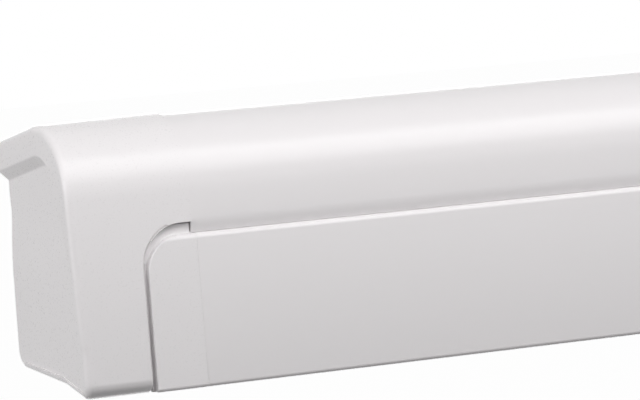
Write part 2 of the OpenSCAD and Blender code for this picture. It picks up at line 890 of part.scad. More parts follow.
module lead_cap(side) {
    on_side(side) color("whitesmoke") union() {
        difference() {
            union() {
                // cover, with the upper outer corner rounded
                intersection() {
                    along_x(-bar_half, -bar_profile_half) bar_outline(0, bar_cap_proud);
                    translate([-bar_half, 0, bar_height - mount_w]) rotate([90, 0, 0])
                        linear_extrude(reach) corner_plan(bar_corner);
                }
                // rib that closes the case cap's cut-out behind the front
                intersection() {
                    translate([-notch_x + rib_gap, -bracket_t - rib_u, notch_w - rib_gap - mount_w])
                        rotate([90, 0, 0]) linear_extrude(cap_wall) corner_plan(notch_radius - rib_gap);
                    block([-notch_x, -cap_in - rib_gap], [0, reach], [0, notch_w]);
                }
            }
            // leg channel
            block([-bar_half + cap_wall, 0], [bar_rear - 1, bar_front - bar_wall], [-1, web_w]);
        }
        // plug in the profile's box
        block([-bar_profile_half - 1, -bar_profile_half + plug_length],
            [keder_u + keder_bore + keder_wall + fit, bar_front - bar_wall - fit],
            [web_w + bar_wall + fit, bar_height - bar_wall - fit]);
    }
}

module wrist_bracket(side) {
    on_side(side) color("silver") difference() {
        union() {
            block([-shoulder_x - knuckle_r, -shoulder_x + knuckle_r],
                [bar_rear - 1.5, bar_front - bar_wall - 2], [shoulder_w - shoulder_rise, web_w]);
            intersection() {
                arm_frame() translate([0, -link_offset, 0]) pivot_ears() {
                    circle(knuckle_r);
                    translate([-knuckle_r, -2 * link_offset]) square([2 * knuckle_r, 2 * link_offset]);
                }
                block([-case_half, case_half], [0, bar_rear + knuckle_r / 2], [0, web_w]);
            }
        }
        arm_frame() translate([0, -link_offset, 0])
            cylinder(r = arm_pin_r + press, h = reach, center = true);
    }
}

module wrist_pins() {
    color("dimgray") for (side = ["left", "right"]) on_side(side)
        arm_frame() translate([0, -link_offset, 0]) pivot_pin(pivot_half);
}

// Front end of the canopy: the keder in its groove and the cloth up to the roll.
module canopy_hem() {
    a = [roll_low[0], roll_low[1] - cloth_drop];
    b = [keder_u, keder_w];
    half = [0, cloth_t / 2 / cos(arm_pitch)];
    color("lightslategray") along_x(-cloth_half, cloth_half) {
        translate(b) circle(keder_r);
        polygon([a - half, b - half, b + half, a + half]);
    }
}

// Holders under the web that part the two stowed legs.
module leg_clips() {
    color("dimgray") for (x = [-0.5, 0, 0.5] * leg_x) union() {
        span = [x - clip_length / 2, x + clip_length / 2];
        block(span, [bar_rear - 2, bar_front - bar_wall], [web_w - clip_base, web_w]);
        for (track = [track_rear, track_front]) {
            u = track - (leg_thick + track_gap) / 2;
            block(span, [u - clip_t / 2, u + clip_t / 2], [leg_w - clip_drop, web_w - 1]);
        }
    }
}

// Legs: the left one lies in the front track and the right one in the rear track.

function track_of(side) = side == "left" ? track_front : track_rear;

// A rod along the leg frame's Y axis.
module rod_y(x, y0, y1, z, r) {
    translate([x, y1, z]) rotate([90, 0, 0]) cylinder(r = r, h = y1 - y0);
}

// Bracket on the web, with an ear beside the leg and the pin that the leg swings on. The left
// leg's ear is on the side of the case and the right leg's on the front.
module leg_bracket(side) {
    flip = side == "left" ? [0, 0, 0] : [0, 1, 0];
    face = leg_thick / 2 + seat;
    top = web_w - leg_w;
    on_side(side) leg_frame(track_of(side)) color("silver") mirror(flip) union() {
        translate([-leg_nose, face, -leg_nose]) cube([2 * leg_nose, ear_t, top + leg_nose]);
        translate([-leg_nose, -leg_thick / 2, leg_nose + bracket_room])
            cube([2 * leg_nose, face + leg_thick / 2 + ear_t, top - leg_nose - bracket_room]);
        rod_y(0, -leg_thick / 2, face + 1, 0, leg_pin_r);
    }
}

module leg_knuckle(side) {
    gap = leg_wall + fit;
    on_side(side) leg_frame(track_of(side)) color("dimgray") difference() {
        union() {
            rod_y(0, -leg_thick / 2, leg_thick / 2, 0, leg_nose);
            translate([0, -leg_thick / 2, -leg_nose]) cube([leg_start, leg_thick, leg_high]);
            bar_x(leg_start - 1, leg_start + leg_plug, leg_thick - 2 * gap, leg_high - 2 * gap,
                leg_round - gap);
        }
        rod_y(0, -leg_thick, leg_thick, 0, leg_pin_r + run);
    }
}

module leg_tube(side) {
    on_side(side) leg_frame(track_of(side)) color("whitesmoke")
        tube_x(leg_start, collar_x, leg_thick, leg_high, leg_round, leg_wall);
}

// Collar at the end of the outer tube, with two lugs and a pin for the clamp lever.
module leg_collar(side) {
    lug_high = lever_drop - leg_high / 2 + lever_hub_r;
    on_side(side) leg_frame(track_of(side)) color("dimgray") union() {
        difference() {
            union() {
                bar_x(collar_x, collar_x + collar_length, leg_thick, leg_high, leg_round);
                translate([lever_x - lug_half, -leg_thick / 2, -leg_high / 2 - lug_high])
                    cube([2 * lug_half, leg_thick, lug_high + leg_round]);
            }
            bar_x(collar_x - 1, collar_x + collar_length + 1, inner_thick + seat, inner_high + seat,
                inner_round);
            translate([lever_x - leg_thick, -lever_w / 2 - fit, -leg_high / 2 - lug_high - 1])
                cube([2 * leg_thick, lever_w + 2 * fit, lug_high + 1]);
        }
        rod_y(lever_x, 1 - leg_thick / 2, leg_thick / 2 - 1, -lever_drop, lever_pin_r);
    }
}

module leg_lever(side) {
    low = -lever_hub_r;
    on_side(side) leg_frame(track_of(side)) color("dimgray")
        translate([lever_x, 0, -lever_drop]) difference() {
            union() {
                rod_y(0, -lever_w / 2, lever_w / 2, 0, lever_hub_r);
                translate([-2 * lug_half, -lever_w / 2, low]) cube([2 * lug_half, lever_w, lever_t - 1]);
                translate([-lever_length, 0.5 - leg_thick / 2, low])
                    cube([lever_length - 1.5 * lug_half, leg_thick - 1, lever_t]);
            }
            rod_y(0, -leg_thick, leg_thick, 0, lever_pin_r + run);
        }
}

module inner_leg(side) {
    on_side(side) leg_frame(track_of(side)) color("silver") difference() {
        union() {
            tube_x(inner_start, inner_end, inner_thick, inner_high, inner_round, inner_wall);
            bar_x(inner_end - tip_plug, inner_end - 0.5, inner_thick - inner_wall,
                inner_high - inner_wall, inner_round - inner_wall / 2);
            rod_y(foot_pin_x, -foot_tip_t / 2, foot_tip_t / 2, 0, foot_tip_r);
            translate([inner_end - 2, -foot_tip_t / 2, -foot_tip_r])
                cube([foot_pin_x - inner_end + 2, foot_tip_t, 2 * foot_tip_r]);
        }
        rod_y(foot_pin_x, -leg_thick, leg_thick, 0, foot_pin_r + run);
    }
}

// Foot: a pad with two ears on the leg's tip, and the pin between them.
module foot(side) {
    pad_x = foot_pin_x + foot_tip_r + foot_pad_gap;
    ear_r = foot_tip_r - 0.5;
    ear_in = foot_tip_t / 2 + seat;
    ear_out = ear_in + foot_ear_t;
    on_side(side) leg_frame(track_of(side)) color("dimgray") union() {
        translate([pad_x, 0.2 - leg_thick / 2, -leg_high / 2])
            cube([foot_pad_t, leg_thick - 0.4, leg_high]);
        for (y = [ear_in, -ear_out]) {
            rod_y(foot_pin_x, y, y + foot_ear_t, 0, ear_r);
            translate([foot_pin_x, y, -ear_r]) cube([pad_x - foot_pin_x + 1, foot_ear_t, 2 * ear_r]);
        }
        rod_y(foot_pin_x, -ear_out, ear_out, 0, foot_pin_r);
    }
}

cassette_profile();
end_cap("left");  // left_end_cap
end_cap("right");  // right_end_cap
end_plate("left");  // left_end_plate
end_plate("right");  // right_end_plate
case_screws();
wall_bracket(-1);  // wall_bracket_left
wall_bracket(0);  // wall_bracket_middle
wall_bracket(1);  // wall_bracket_right
shoulder_bracket("left");  // left_shoulder_bracket
shoulder_bracket("right");  // right_shoulder_bracket
shoulder_pins();
hood_seal();
roller_bush();
gear_housing();
roller_tube();
roller_idler_plug();
roller_drive_plug();
canopy_roll();
crank_eye();
shoulder_knuckle("left");  // left_shoulder_knuckle
upper_tube("left");  // left_upper_tube
elbow_fork("left");  // left_elbow_fork
elbow_pin("left");  // left_elbow_pin
elbow_tongue("left");  // left_elbow_tongue
forearm_tube("left");  // left_forearm_tube
wrist_knuckle("left");  // left_wrist_knuckle
arm_spring("left");  // left_arm_spring
shoulder_knuckle("right");  // right_shoulder_knuckle
upper_tube("right");  // right_upper_tube
elbow_fork("right");  // right_elbow_fork
elbow_pin("right");  // right_elbow_pin
elbow_tongue("right");  // right_elbow_tongue
forearm_tube("right");  // right_forearm_tube
wrist_knuckle("right");  // right_wrist_knuckle
arm_spring("right");  // right_arm_spring
lead_bar_profile();
lead_cap("left");  // left_lead_cap
lead_cap("right");  // right_lead_cap
wrist_bracket("left");  // left_wrist_bracket
wrist_bracket("right");  // right_wrist_bracket
wrist_pins();
canopy_hem();
leg_clips();
leg_bracket("left");  // left_leg_bracket
leg_bracket("right");  // right_leg_bracket
leg_knuckle("left");  // left_leg_knuckle
leg_tube("left");  // left_leg_tube
leg_collar("left");  // left_leg_collar
leg_lever("left");  // left_leg_lever
inner_leg("left");  // left_inner_leg
foot("left");  // left_foot
leg_knuckle("right");  // right_leg_knuckle
leg_tube("right");  // right_leg_tube
leg_collar("right");  // right_leg_collar
leg_lever("right");  // right_leg_lever
inner_leg("right");  // right_inner_leg
foot("right");  // right_foot
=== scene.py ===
"""Looks of a roll out awning for a caravan: a closed cassette with folding arms and stowed legs."""

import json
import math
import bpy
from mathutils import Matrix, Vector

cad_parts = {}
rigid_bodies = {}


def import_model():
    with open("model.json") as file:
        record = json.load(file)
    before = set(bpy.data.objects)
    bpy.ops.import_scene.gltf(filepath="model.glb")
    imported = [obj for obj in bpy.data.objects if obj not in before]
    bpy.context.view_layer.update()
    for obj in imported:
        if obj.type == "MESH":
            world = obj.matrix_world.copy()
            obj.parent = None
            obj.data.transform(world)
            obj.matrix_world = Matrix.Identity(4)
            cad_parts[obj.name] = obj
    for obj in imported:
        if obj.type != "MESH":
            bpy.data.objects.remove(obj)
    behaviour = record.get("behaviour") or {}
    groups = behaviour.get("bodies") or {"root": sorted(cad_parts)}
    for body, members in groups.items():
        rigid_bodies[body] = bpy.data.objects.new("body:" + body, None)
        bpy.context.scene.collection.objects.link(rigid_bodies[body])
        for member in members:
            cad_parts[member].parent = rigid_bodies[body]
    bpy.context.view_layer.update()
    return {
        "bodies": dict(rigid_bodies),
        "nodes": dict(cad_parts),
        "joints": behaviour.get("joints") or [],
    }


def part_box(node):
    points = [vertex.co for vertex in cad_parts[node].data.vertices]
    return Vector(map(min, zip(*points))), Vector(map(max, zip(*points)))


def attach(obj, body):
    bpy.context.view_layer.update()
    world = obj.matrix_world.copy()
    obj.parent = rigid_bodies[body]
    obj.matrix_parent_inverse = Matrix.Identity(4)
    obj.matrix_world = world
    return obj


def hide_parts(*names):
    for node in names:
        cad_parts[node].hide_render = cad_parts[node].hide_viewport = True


bl_info = {
    "name": "Roll Out Awning",
    "version": (1, 0, 0),
    "blender": (4, 5, 0),
    "location": "View3D > Sidebar > Awning",
    "description": "Dresses the solids of a cassette awning with their finished surfaces",
    "category": "Object",
}

from functools import cache

import bmesh
import bpy
from bpy.props import FloatProperty, FloatVectorProperty, PointerProperty
from mathutils import Matrix, Vector
from mathutils.bvhtree import BVHTree
from mathutils.geometry import intersect_point_line

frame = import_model()

MM = 0.001
# A section is drawn in two axes: u runs forward from the case's back wall, and w runs up from
# the lead bar's lower edge.
BACK_Y = round(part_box("cassette_profile")[1].y, 4)
FOOT_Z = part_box("lead_bar_profile")[0].z
SIDES = ("left", "right")
JOINT_AT = {j["name"]: Vector(j["pos_m"]) for j in frame["joints"] if "pos_m" in j}
JOINT_AXIS = {j["name"]: Vector(j["axis"]) for j in frame["joints"]}

# Arcs get one step for this many degrees. Edges that fold more than SHARP are rounded on a solid's
# copy, and shaded crisp.
ARC_STEP = 4.0
SHARP = math.radians(26.0)
# A solid's loose triangles are welded within WELD and joined where they fold less than FLAT. A face
# looks a certain way where its normal's share of that way is over FACING.
WELD = 0.03 * MM
FLAT = math.radians(0.5)
FACING = 0.6
# Steps of the rounds on solids, on a lower front edge and on a tube's corners.
ROUND_STEPS = 3
FOOT_STEPS = 6
TUBE_CORNER_STEPS = 8
# A round may stray from its solid's skin by this part of its radius. Where it strays more, the edges
# within this many radii of its root stay crisp, and the rounding is tried again.
STRAY_PART = 0.8
REACH_PART = 2.0
ROUND_TRIES = 8


def linear(hex_colour):
    """Turns an sRGB hex colour into linear red, green and blue."""
    parts = [int(hex_colour[i:i + 2], 16) / 255 for i in (1, 3, 5)]
    return tuple(c / 12.92 if c <= 0.04045 else ((c + 0.055) / 1.055) ** 2.4 for c in parts)


def length(name, description, size):
    """A length property, given in millimetres."""
    return FloatProperty(name=name, description=description, default=size * MM, unit="LENGTH", precision=4)


def angle(name, description, degrees):
    """An angle property, given in degrees."""
    return FloatProperty(name=name, description=description, default=math.radians(degrees), subtype="ANGLE")


def power(name, description, default):
    """A lamp's power in watts."""
    return FloatProperty(name=name, description=description, default=default, subtype="POWER", unit="POWER")


def colour(name, description, hex_colour):
    """A colour property with its default from a hex value."""
    return FloatVectorProperty(name=name, description=description, subtype="COLOR", size=3,
                               min=0.0, max=1.0, default=linear(hex_colour))


class AwningSizes(bpy.types.PropertyGroup):
    """Section sizes of the extrusions and the roundness of the mouldings."""

    wall: length("Wall", "Wall of the case, lead bar, arm tubes and roller", 2.0)
    hood_radius: length("Hood Radius", "Radius from the top round to the front", 36.0)
    hood_u: length("Hood Centre Forward", "Centre of the hood's round, from the back", 52.0)
    hood_w: length("Hood Centre Height", "Centre of the hood's round, above the foot", 94.0)
    top_pitch: angle("Top Pitch", "Fall of the top towards the wall", 10.0)
    back_radius: length("Back Radius", "Radius of the case's upper rear corner", 8.0)
    bend_w: length("Bend Height", "Where the hood's lower edge starts to bend in", 81.4)
    bend_radius: length("Bend Radius", "Outer radius of the hood's lower edge", 20.0)
    seam_w: length("Seam Height", "Height of the hood's lower edge", 74.15)
    lip_cut_w: length("Lip Cut Height", "Where the hood's edge is cut back under the caps", 81.6)
    flange_u: length("Flange Depth", "Rear edge of the seal's flange, from the back", 78.0)
    flange_w: length("Flange Height", "Underside of the seal's flange", 76.9)
    floor_w: length("Floor Height", "Underside of the case's floor", 10.5)
    floor_depth: length("Floor Depth", "Front edge of the case's floor", 56.0)
    floor_lip: length("Floor Lip", "Height of the floor's upturned edge", 4.0)
    case_corner: length("Case Corner", "Radius of the case's lower rear corner", 8.0)
    rail_low: length("Rail Low", "Lower edge of the hanging rail's pocket", 90.0)
    rail_mouth: length("Rail Mouth", "Upper edge of the hanging rail's mouth", 97.5)
    rail_high: length("Rail High", "Upper edge of the hanging rail's pocket", 108.0)
    rail_lip: length("Rail Lip", "Thickness of the lip that hangs on the brackets", 2.5)
    rail_depth: length("Rail Depth", "Depth of the hanging rail's pocket", 7.0)
    bar_front: length("Bar Front", "Front of the lead bar at its top", 89.5)
    bar_lean: length("Bar Lean", "How far the lead bar's foot stands forward", 2.2)
    bar_round: length("Bar Round", "Radius along the lead bar's top front edge", 3.0)
    bar_foot: length("Bar Foot", "Radius along the lead bar's lower front edge", 1.9)
    bar_rear: length("Bar Rear", "Rear of the lead bar's box", 62.0)
    bar_web: length("Bar Web", "Underside of the lead bar's box", 50.0)
    bead: length("Bead", "Thickness and height of the lead bar's lower bead", 3.0)
    keder_u: length("Keder Forward", "Centre of the keder groove, from the back", 63.9)
    keder_w: length("Keder Height", "Centre of the keder groove", 60.95)
    keder_boss: length("Keder Boss", "Outer radius of the keder groove", 5.1)
    keder_bore: length("Keder Bore", "Inner radius of the keder groove", 3.2)
    keder_slot: length("Keder Slot", "Half width of the keder groove's mouth", 1.6)
    keder_rod: length("Keder Rod", "Radius of the cord in the canopy's hem", 2.9)
    arm_depth: length("Arm Depth", "Arm tube across, in the arms' plane", 20.0)
    arm_height: length("Arm Height", "Arm tube's height", 30.0)
    arm_round: length("Arm Round", "Radius of the arm tube's corners", 4.0)
    leg_wall: length("Leg Wall", "Wall of the leg tubes", 1.4)
    leg_round: length("Leg Round", "Radius of the leg tube's corners", 3.0)
    cast_edge: length("Cast Edge", "Edge radius of arm castings and leg mouldings", 0.6)
    pin_edge: length("Pin Edge", "Edge radius of pins, end plates and leg brackets", 0.5)
    plug_edge: length("Plug Edge", "Edge radius of plugs, wall brackets and the crank's eye", 0.4)
    thin_edge: length("Thin Edge", "Edge radius of screws, clips and inner legs", 0.3)
    cap_edge: length("Cap Edge", "Edge radius of lead caps, feet, gear case and seal", 0.8)
    cap_proud: length("Cap Proud", "How far an end cap stands out over the case", 1.0)
    cap_round: length("Cap Round", "Radius of the edge round an end cap's end", 3.6)
    cap_end: length("Cap End", "Depth of the moulded end that is modelled by itself", 9.0)
    cap_draft: length("Cap Draft", "How much lower the cap's outer end is than its inner end", 0.9)
    cap_lip: length("Cap Lip", "Radius of an end cap's lower front corner", 7.0)
    dip_u: length("Dip Forward", "Where an end cap's underside bends, from the back", 60.0)
    dip_w: length("Dip Height", "Height of that bend", 5.4)
    rim_width: length("Rim Width", "Width of the visor over an end cap's side panel", 20.0)
    rim_height: length("Rim Height", "How far the visor stands out over the panel", 5.0)
    panel_rise: length("Panel Rise", "How much further out the panel is below than at the visor", 2.3)
    end_step: length("End Step", "Step from the rounded edge down to an end cap's side", 1.0)
    rim_foot_w: length("Rim Foot", "Height at which the rim down the front runs out", 8.0)
    notch_edge: length("Notch Edge", "Radius round the lead bar's cut-out", 1.4)
    cloth_pitch: length("Cloth Pitch", "Distance from turn to turn in the roll", 0.43)
    cloth_thickness: length("Cloth Thickness", "Thickness of the canopy cloth", 0.38)


class AwningColours(bpy.types.PropertyGroup):
    """Colours of the finishes."""

    coat: colour("Powder Coat", "Paint on the case and the lead bar", "#E6E3E4")
    cap: colour("Cap Plastic", "Moulded end caps", "#E6E3E4")
    arm: colour("Arm Coat", "Paint on the arms", "#DADBDB")
    cast: colour("Cast Aluminium", "Cast brackets and knuckles", "#A9ABAC")
    mill: colour("Mill Aluminium", "Wall brackets", "#B7B9BB")
    tube: colour("Anodised Aluminium", "Legs", "#C3C6C8")
    roller: colour("Rolled Aluminium", "Roller tube", "#B3B5B7")
    bolt: colour("Stainless Steel", "Pins, screws and crank eye", "#A6A5A2")
    spring: colour("Spring Steel", "Springs in the forearms", "#5B5C5E")
    nylon: colour("Black Nylon", "Bush, plugs, gear case and clips", "#1E1F21")
    rubber: colour("Seal Rubber", "Seal under the hood", "#2A2A2B")
    handle: colour("Leg Plastic", "Knuckles, collars, levers and feet", "#3A3C3F")
    cloth: colour("Canopy Cloth", "Woven canopy", "#8D9194")
    yarn: colour("Canopy Yarn", "Darker yarns of the canopy", "#6F7478")


class AwningStage(bpy.types.PropertyGroup):
    """Camera, floor and lamps."""

    azimuth: angle("Azimuth", "Camera's turn round the object", 24.461)
    elevation: angle("Elevation", "Camera's height above the horizon", 3.963)
    roll: angle("Roll", "Camera's turn about its own line of sight", -4.025)
    distance: length("Distance", "Camera's distance from the point it looks at", 1996.8)
    focal: FloatProperty(name="Lens", description="Focal length in millimetres on a 36 mm sensor",
                         default=228.53, subtype="DISTANCE_CAMERA")
    floor_drop: length("Floor Drop", "Ground below the awning, where the feet stand", 2560.0)
    sky: FloatProperty(name="Sky", description="Soft light of the room from above", default=0.03)
    ground: FloatProperty(name="Ground", description="Soft light of the room from below", default=0.05)
    strip: power("Strip", "Lamp over the hood, which draws its highlight", 8.0)
    wash: power("Wash", "Lamp close to the front, which fades down the lead bar", 8.3)
    front: power("Front", "Large lamp in front of the open awning", 40.0)
    end: power("End", "Lamps off the two ends", 5.8)
    back: power("Back", "Lamp behind the case", 16.0)
    under: power("Under", "Lamp below and behind the case", 12.0)


def sizes():
    return bpy.context.scene.awning_sizes


# Materials


def set_inputs(tree, node, inputs):
    """Sets or links a node's inputs."""
    for name, value in inputs.items():
        if isinstance(value, bpy.types.NodeSocket):
            tree.links.new(value, node.inputs[name])
        else:
            node.inputs[name].default_value = value


def add_node(tree, kind, settings=None, inputs=None):
    """Adds a node, sets its settings, and sets or links its inputs."""
    node = tree.nodes.new(kind)
    for name, value in (settings or {}).items():
        setattr(node, name, value)
    set_inputs(tree, node, inputs or {})
    return node


def empty_tree(owner):
    """The emptied node tree of a material or a world."""
    owner.use_nodes = True
    owner.node_tree.nodes.clear()
    return owner.node_tree


def start_material(name):
    """A material with a Principled shader, and the piece's own coordinates."""
    material = bpy.data.materials.new(name)
    tree = empty_tree(material)
    shader = add_node(tree, "ShaderNodeBsdfPrincipled")
    add_node(tree, "ShaderNodeOutputMaterial", inputs={"Surface": shader.outputs[0]})
    coords = add_node(tree, "ShaderNodeTexCoord").outputs["Object"]
    return material, tree, shader, coords


def patterned(name, tint, second, share, gloss, relief, patterns, **shader_inputs):
    """A finish that drifts to a second tone, with a grain for its gloss and a peel for its relief.

    second is that tone's part of the tint, and share is how far the drift goes. gloss is the least and
    the most roughness, and relief is its strength and depth. A pattern is its size, its scale along X,
    its detail and its roughness. Without a peel, the grain gives the relief."""
    material, tree, shader, coords = start_material(name)
    fields = {}
    for part, (size, along, detail, roughness) in patterns.items():
        laid = add_node(tree, "ShaderNodeMapping", inputs={"Vector": coords, "Scale": (along, 1.0, 1.0)})
        fields[part] = add_node(tree, "ShaderNodeTexNoise", inputs={
            "Vector": laid.outputs[0], "Scale": 1 / size, "Detail": detail,
            "Roughness": roughness}).outputs["Fac"]
    drift = add_node(tree, "ShaderNodeMapRange", inputs={"Value": fields["drift"], "To Max": share})
    tones = add_node(tree, "ShaderNodeMix", {"data_type": "RGBA"}, {
        0: drift.outputs[0], 6: (*tint, 1.0), 7: (*(c * second for c in tint), 1.0)})
    if gloss:
        shader_inputs["Roughness"] = add_node(tree, "ShaderNodeMapRange", inputs={
            "Value": fields["grain"], "From Min": 0.3, "From Max": 0.7,
            "To Min": gloss[0], "To Max": gloss[1]}).outputs[0]
    bump = add_node(tree, "ShaderNodeBump", inputs={
        "Height": fields.get("peel", fields["grain"]), "Strength": relief[0], "Distance": relief[1]})
    set_inputs(tree, shader, {
        "Base Color": tones.outputs[2], "Normal": bump.outputs[0], **shader_inputs})
    return material


def powder_coat(name, tint):
    # Powder coat on extruded aluminium, sprayed and baked. It gives a soft, broad highlight, a
    # faint orange peel of about 1.5 mm, and hardly any drift of tone along the length. The
    # die's lines, 3 mm apart, show through the paint only as a change of gloss.
    return patterned(name, tint, second=0.86, share=0.10, gloss=(0.275, 0.29), relief=(0.12, 0.1 * MM),
                     patterns={"drift": (140.0 * MM, 1.0, 3.0, 0.5), "grain": (3.0 * MM, 0.006, 3.0, 0.5),
                               "peel": (1.5 * MM, 1.0, 2.0, 0.45)}, IOR=1.5)


def moulded_plastic(name, tint, grit, roughness):
    # Injection moulded plastic from a spark-eroded tool: a fine even grain, a broad soft sheen
    # and faint clouds, 45 mm wide, where the melt flowed.
    return patterned(name, tint, second=0.88, share=0.12, gloss=(roughness - 0.03, roughness + 0.04),
                     relief=(0.16, 0.08 * MM), IOR=1.49,
                     patterns={"drift": (45.0 * MM, 1.0, 2.0, 0.5), "grain": (grit, 1.0, 3.0, 0.6)})


def bare_metal(name, tint, roughness, grit, stretch):
    # Metal left bare: cast skin is pebbled, drawn and rolled metal is streaked along its length,
    # and both are stained in patches of 22 mm. stretch is how many times longer than wide the
    # marks are along X.
    return patterned(name, tint, second=0.78, share=1.0, gloss=(roughness - 0.07, roughness + 0.09),
                     relief=(0.2, 0.08 * MM), Metallic=1.0,
                     patterns={"drift": (22.0 * MM, 1.0, 4.0, 0.5), "grain": (grit, 1 / stretch, 4.0, 0.55)})


def seal_rubber(name, tint):
    # Extruded rubber: dull, nearly black, with a bloom of paler dust and fine extrusion lines.
    return patterned(name, tint, second=1.7, share=1.0, gloss=None, relief=(0.2, 0.1 * MM),
                     patterns={"drift": (30.0 * MM, 1.0, 4.0, 0.5), "grain": (0.8 * MM, 0.03, 2.0, 0.5)},
                     Roughness=0.7, IOR=1.52)


def canopy_cloth(name, tint):
    # Woven polyester with a clear coat: plain weave of 0.9 mm yarns, drawn 2 mm apart so that it
    # shows, paler and darker yarns side by side, and a low sheen. Its UV map is in metres.
    material, tree, shader, _ = start_material(name)
    weave_uv = add_node(tree, "ShaderNodeUVMap", {"uv_map": "cloth"}).outputs[0]
    # a wave of scale 1 has a band every 0.31
    warp, weft = (add_node(tree, "ShaderNodeTexWave", {"bands_direction": way}, {
        "Vector": weave_uv, "Scale": 0.31 / (2.0 * MM), "Distortion": 0.4, "Detail": 1.0}) for way in "XY")
    knots = add_node(tree, "ShaderNodeMath", {"operation": "MULTIPLY"}, {
        0: warp.outputs["Fac"], 1: weft.outputs["Fac"]})
    slub = add_node(tree, "ShaderNodeMapping", inputs={"Vector": weave_uv, "Scale": (1.0, 0.06, 1.0)})
    streak = add_node(tree, "ShaderNodeTexNoise", inputs={
        "Vector": slub.outputs[0], "Scale": 1 / (4.0 * MM), "Detail": 3.0})
    mix = add_node(tree, "ShaderNodeMix", {"data_type": "RGBA"}, {
        0: streak.outputs["Fac"], 6: (*tint, 1.0), 7: (*bpy.context.scene.awning_colours.yarn, 1.0)})
    bump = add_node(tree, "ShaderNodeBump", inputs={
        "Height": knots.outputs[0], "Strength": 0.3, "Distance": 0.25 * MM})
    set_inputs(tree, shader, {"Base Color": mix.outputs[2], "Roughness": 0.62,
                              "Normal": bump.outputs[0], "Sheen Weight": 0.12, "IOR": 1.5})
    return material


# How each of the record's material slots is made: the finish, its name, its colour and its values.
FINISHES = {
    "case_paint": (powder_coat, "powder_coated_aluminium", "coat"),
    "arm_paint": (powder_coat, "powder_coated_arm_tube", "arm"),
    "cap_plastic": (moulded_plastic, "moulded_asa", "cap", 0.9 * MM, 0.29),
    "leg_plastic": (moulded_plastic, "glass_filled_nylon", "handle", 0.7 * MM, 0.5),
    "black_nylon": (moulded_plastic, "moulded_black_nylon", "nylon", 0.6 * MM, 0.46),
    "cast_aluminium": (bare_metal, "die_cast_aluminium", "cast", 0.46, 0.9 * MM, 1.0),
    "bracket_aluminium": (bare_metal, "extruded_aluminium", "mill", 0.4, 0.5 * MM, 20.0),
    "leg_aluminium": (bare_metal, "anodised_aluminium", "tube", 0.36, 0.4 * MM, 40.0),
    "roller_aluminium": (bare_metal, "rolled_aluminium", "roller", 0.38, 0.5 * MM, 40.0),
    "steel": (bare_metal, "stainless_steel", "bolt", 0.28, 0.4 * MM, 1.0),
    "spring_steel": (bare_metal, "oiled_spring_steel", "spring", 0.4, 0.5 * MM, 1.0),
    "seal_rubber": (seal_rubber, "extruded_rubber", "rubber"),
    "canopy_cloth": (canopy_cloth, "woven_coated_polyester", "cloth"),
}


@cache
def finish(slot):
    """The slot's finish, made once."""
    make, name, tint, *values = FINISHES[slot]
    return make(name, getattr(bpy.context.scene.awning_colours, tint), *values)


# Mesh helpers


def ease(value):
    """Runs smoothly from 0 to 1 as the value does, and stays there beyond."""
    t = min(max(value, 0.0), 1.0)
    return t * t * (3 - 2 * t)


def section_point(x, u, w):
    return Vector((x, BACK_Y - u, FOOT_Z + w))


def verts_of(made, part="geom"):
    """The vertices among what an operator has made."""
    return [v for v in made[part] if isinstance(v, bmesh.types.BMVert)]


class Pen:
    """Draws a section across X, stretch by stretch."""

    def __init__(self, bm, x, u, w):
        self.bm, self.x = bm, x
        self.verts = [bm.verts.new(section_point(x, u, w))]

    def line(self, *points):
        """Draws straight on through points."""
        for u, w in points:
            drawn = bmesh.ops.extrude_vert_indiv(self.bm, verts=self.verts[-1:])["verts"]
            drawn[0].co = section_point(self.x, u, w)
            self.verts += drawn

    def arc(self, u, w, turn):
        """Turns about a centre; a positive turn goes from forward to up."""
        steps = max(3, round(abs(math.degrees(turn)) / ARC_STEP))
        spun = bmesh.ops.spin(self.bm, geom=self.verts[-1:], cent=section_point(self.x, u, w),
                              axis=(-1, 0, 0), angle=turn, steps=steps, use_duplicate=False)
        self.verts += verts_of(spun, "geom_last")[:1]

    def close(self):
        bmesh.ops.contextual_create(self.bm, geom=[self.verts[-1], self.verts[0]])


def circle_section(bm, centre, radius, steps):
    """A circle across X, as a closed section."""
    turn = Matrix.Translation(centre) @ Matrix.Rotation(math.pi / 2, 4, "Y")
    bmesh.ops.create_circle(bm, cap_ends=False, segments=steps, radius=radius, matrix=turn)


def extrude_section(bm, end_x, edges=None):
    """Fills a section's closed loops and draws the face out along X to a closed bar."""
    edges = bm.edges[:] if edges is None else edges
    start_x = edges[0].verts[0].co.x
    filled = bmesh.ops.triangle_fill(bm, edges=edges, use_beauty=True)
    faces = [f for f in filled["geom"] if isinstance(f, bmesh.types.BMFace)]
    drawn = bmesh.ops.extrude_face_region(bm, geom=faces)
    bmesh.ops.translate(bm, verts=verts_of(drawn), vec=(end_x - start_x, 0, 0))


def shade(bm):
    """Smooth faces with crisp folds."""
    bmesh.ops.recalc_face_normals(bm, faces=bm.faces[:])
    for face in bm.faces:
        face.smooth = True
    for edge in bm.edges:
        edge.smooth = len(edge.link_faces) == 2 and edge.calc_face_angle() < SHARP


def add_object(name, data):
    """Puts a mesh, a lamp or a camera in the scene."""
    thing = bpy.data.objects.new(name, data)
    bpy.context.scene.collection.objects.link(thing)
    return thing


def add_mesh(name, bm, material):
    """Puts a bmesh in the scene."""
    mesh = bpy.data.meshes.new(name)
    bm.to_mesh(mesh)
    bm.free()
    mesh.materials.append(material)
    return add_object(name, mesh)


def add_piece(name, bm, slot, body, nodes=()):
    """Makes a piece of a bmesh, and ties it to its body, its finish and the nodes it stands for."""
    shade(bm)
    piece = add_mesh(name, bm, finish(slot))
    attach(piece, body)
    if nodes:
        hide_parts(*nodes)
    return piece


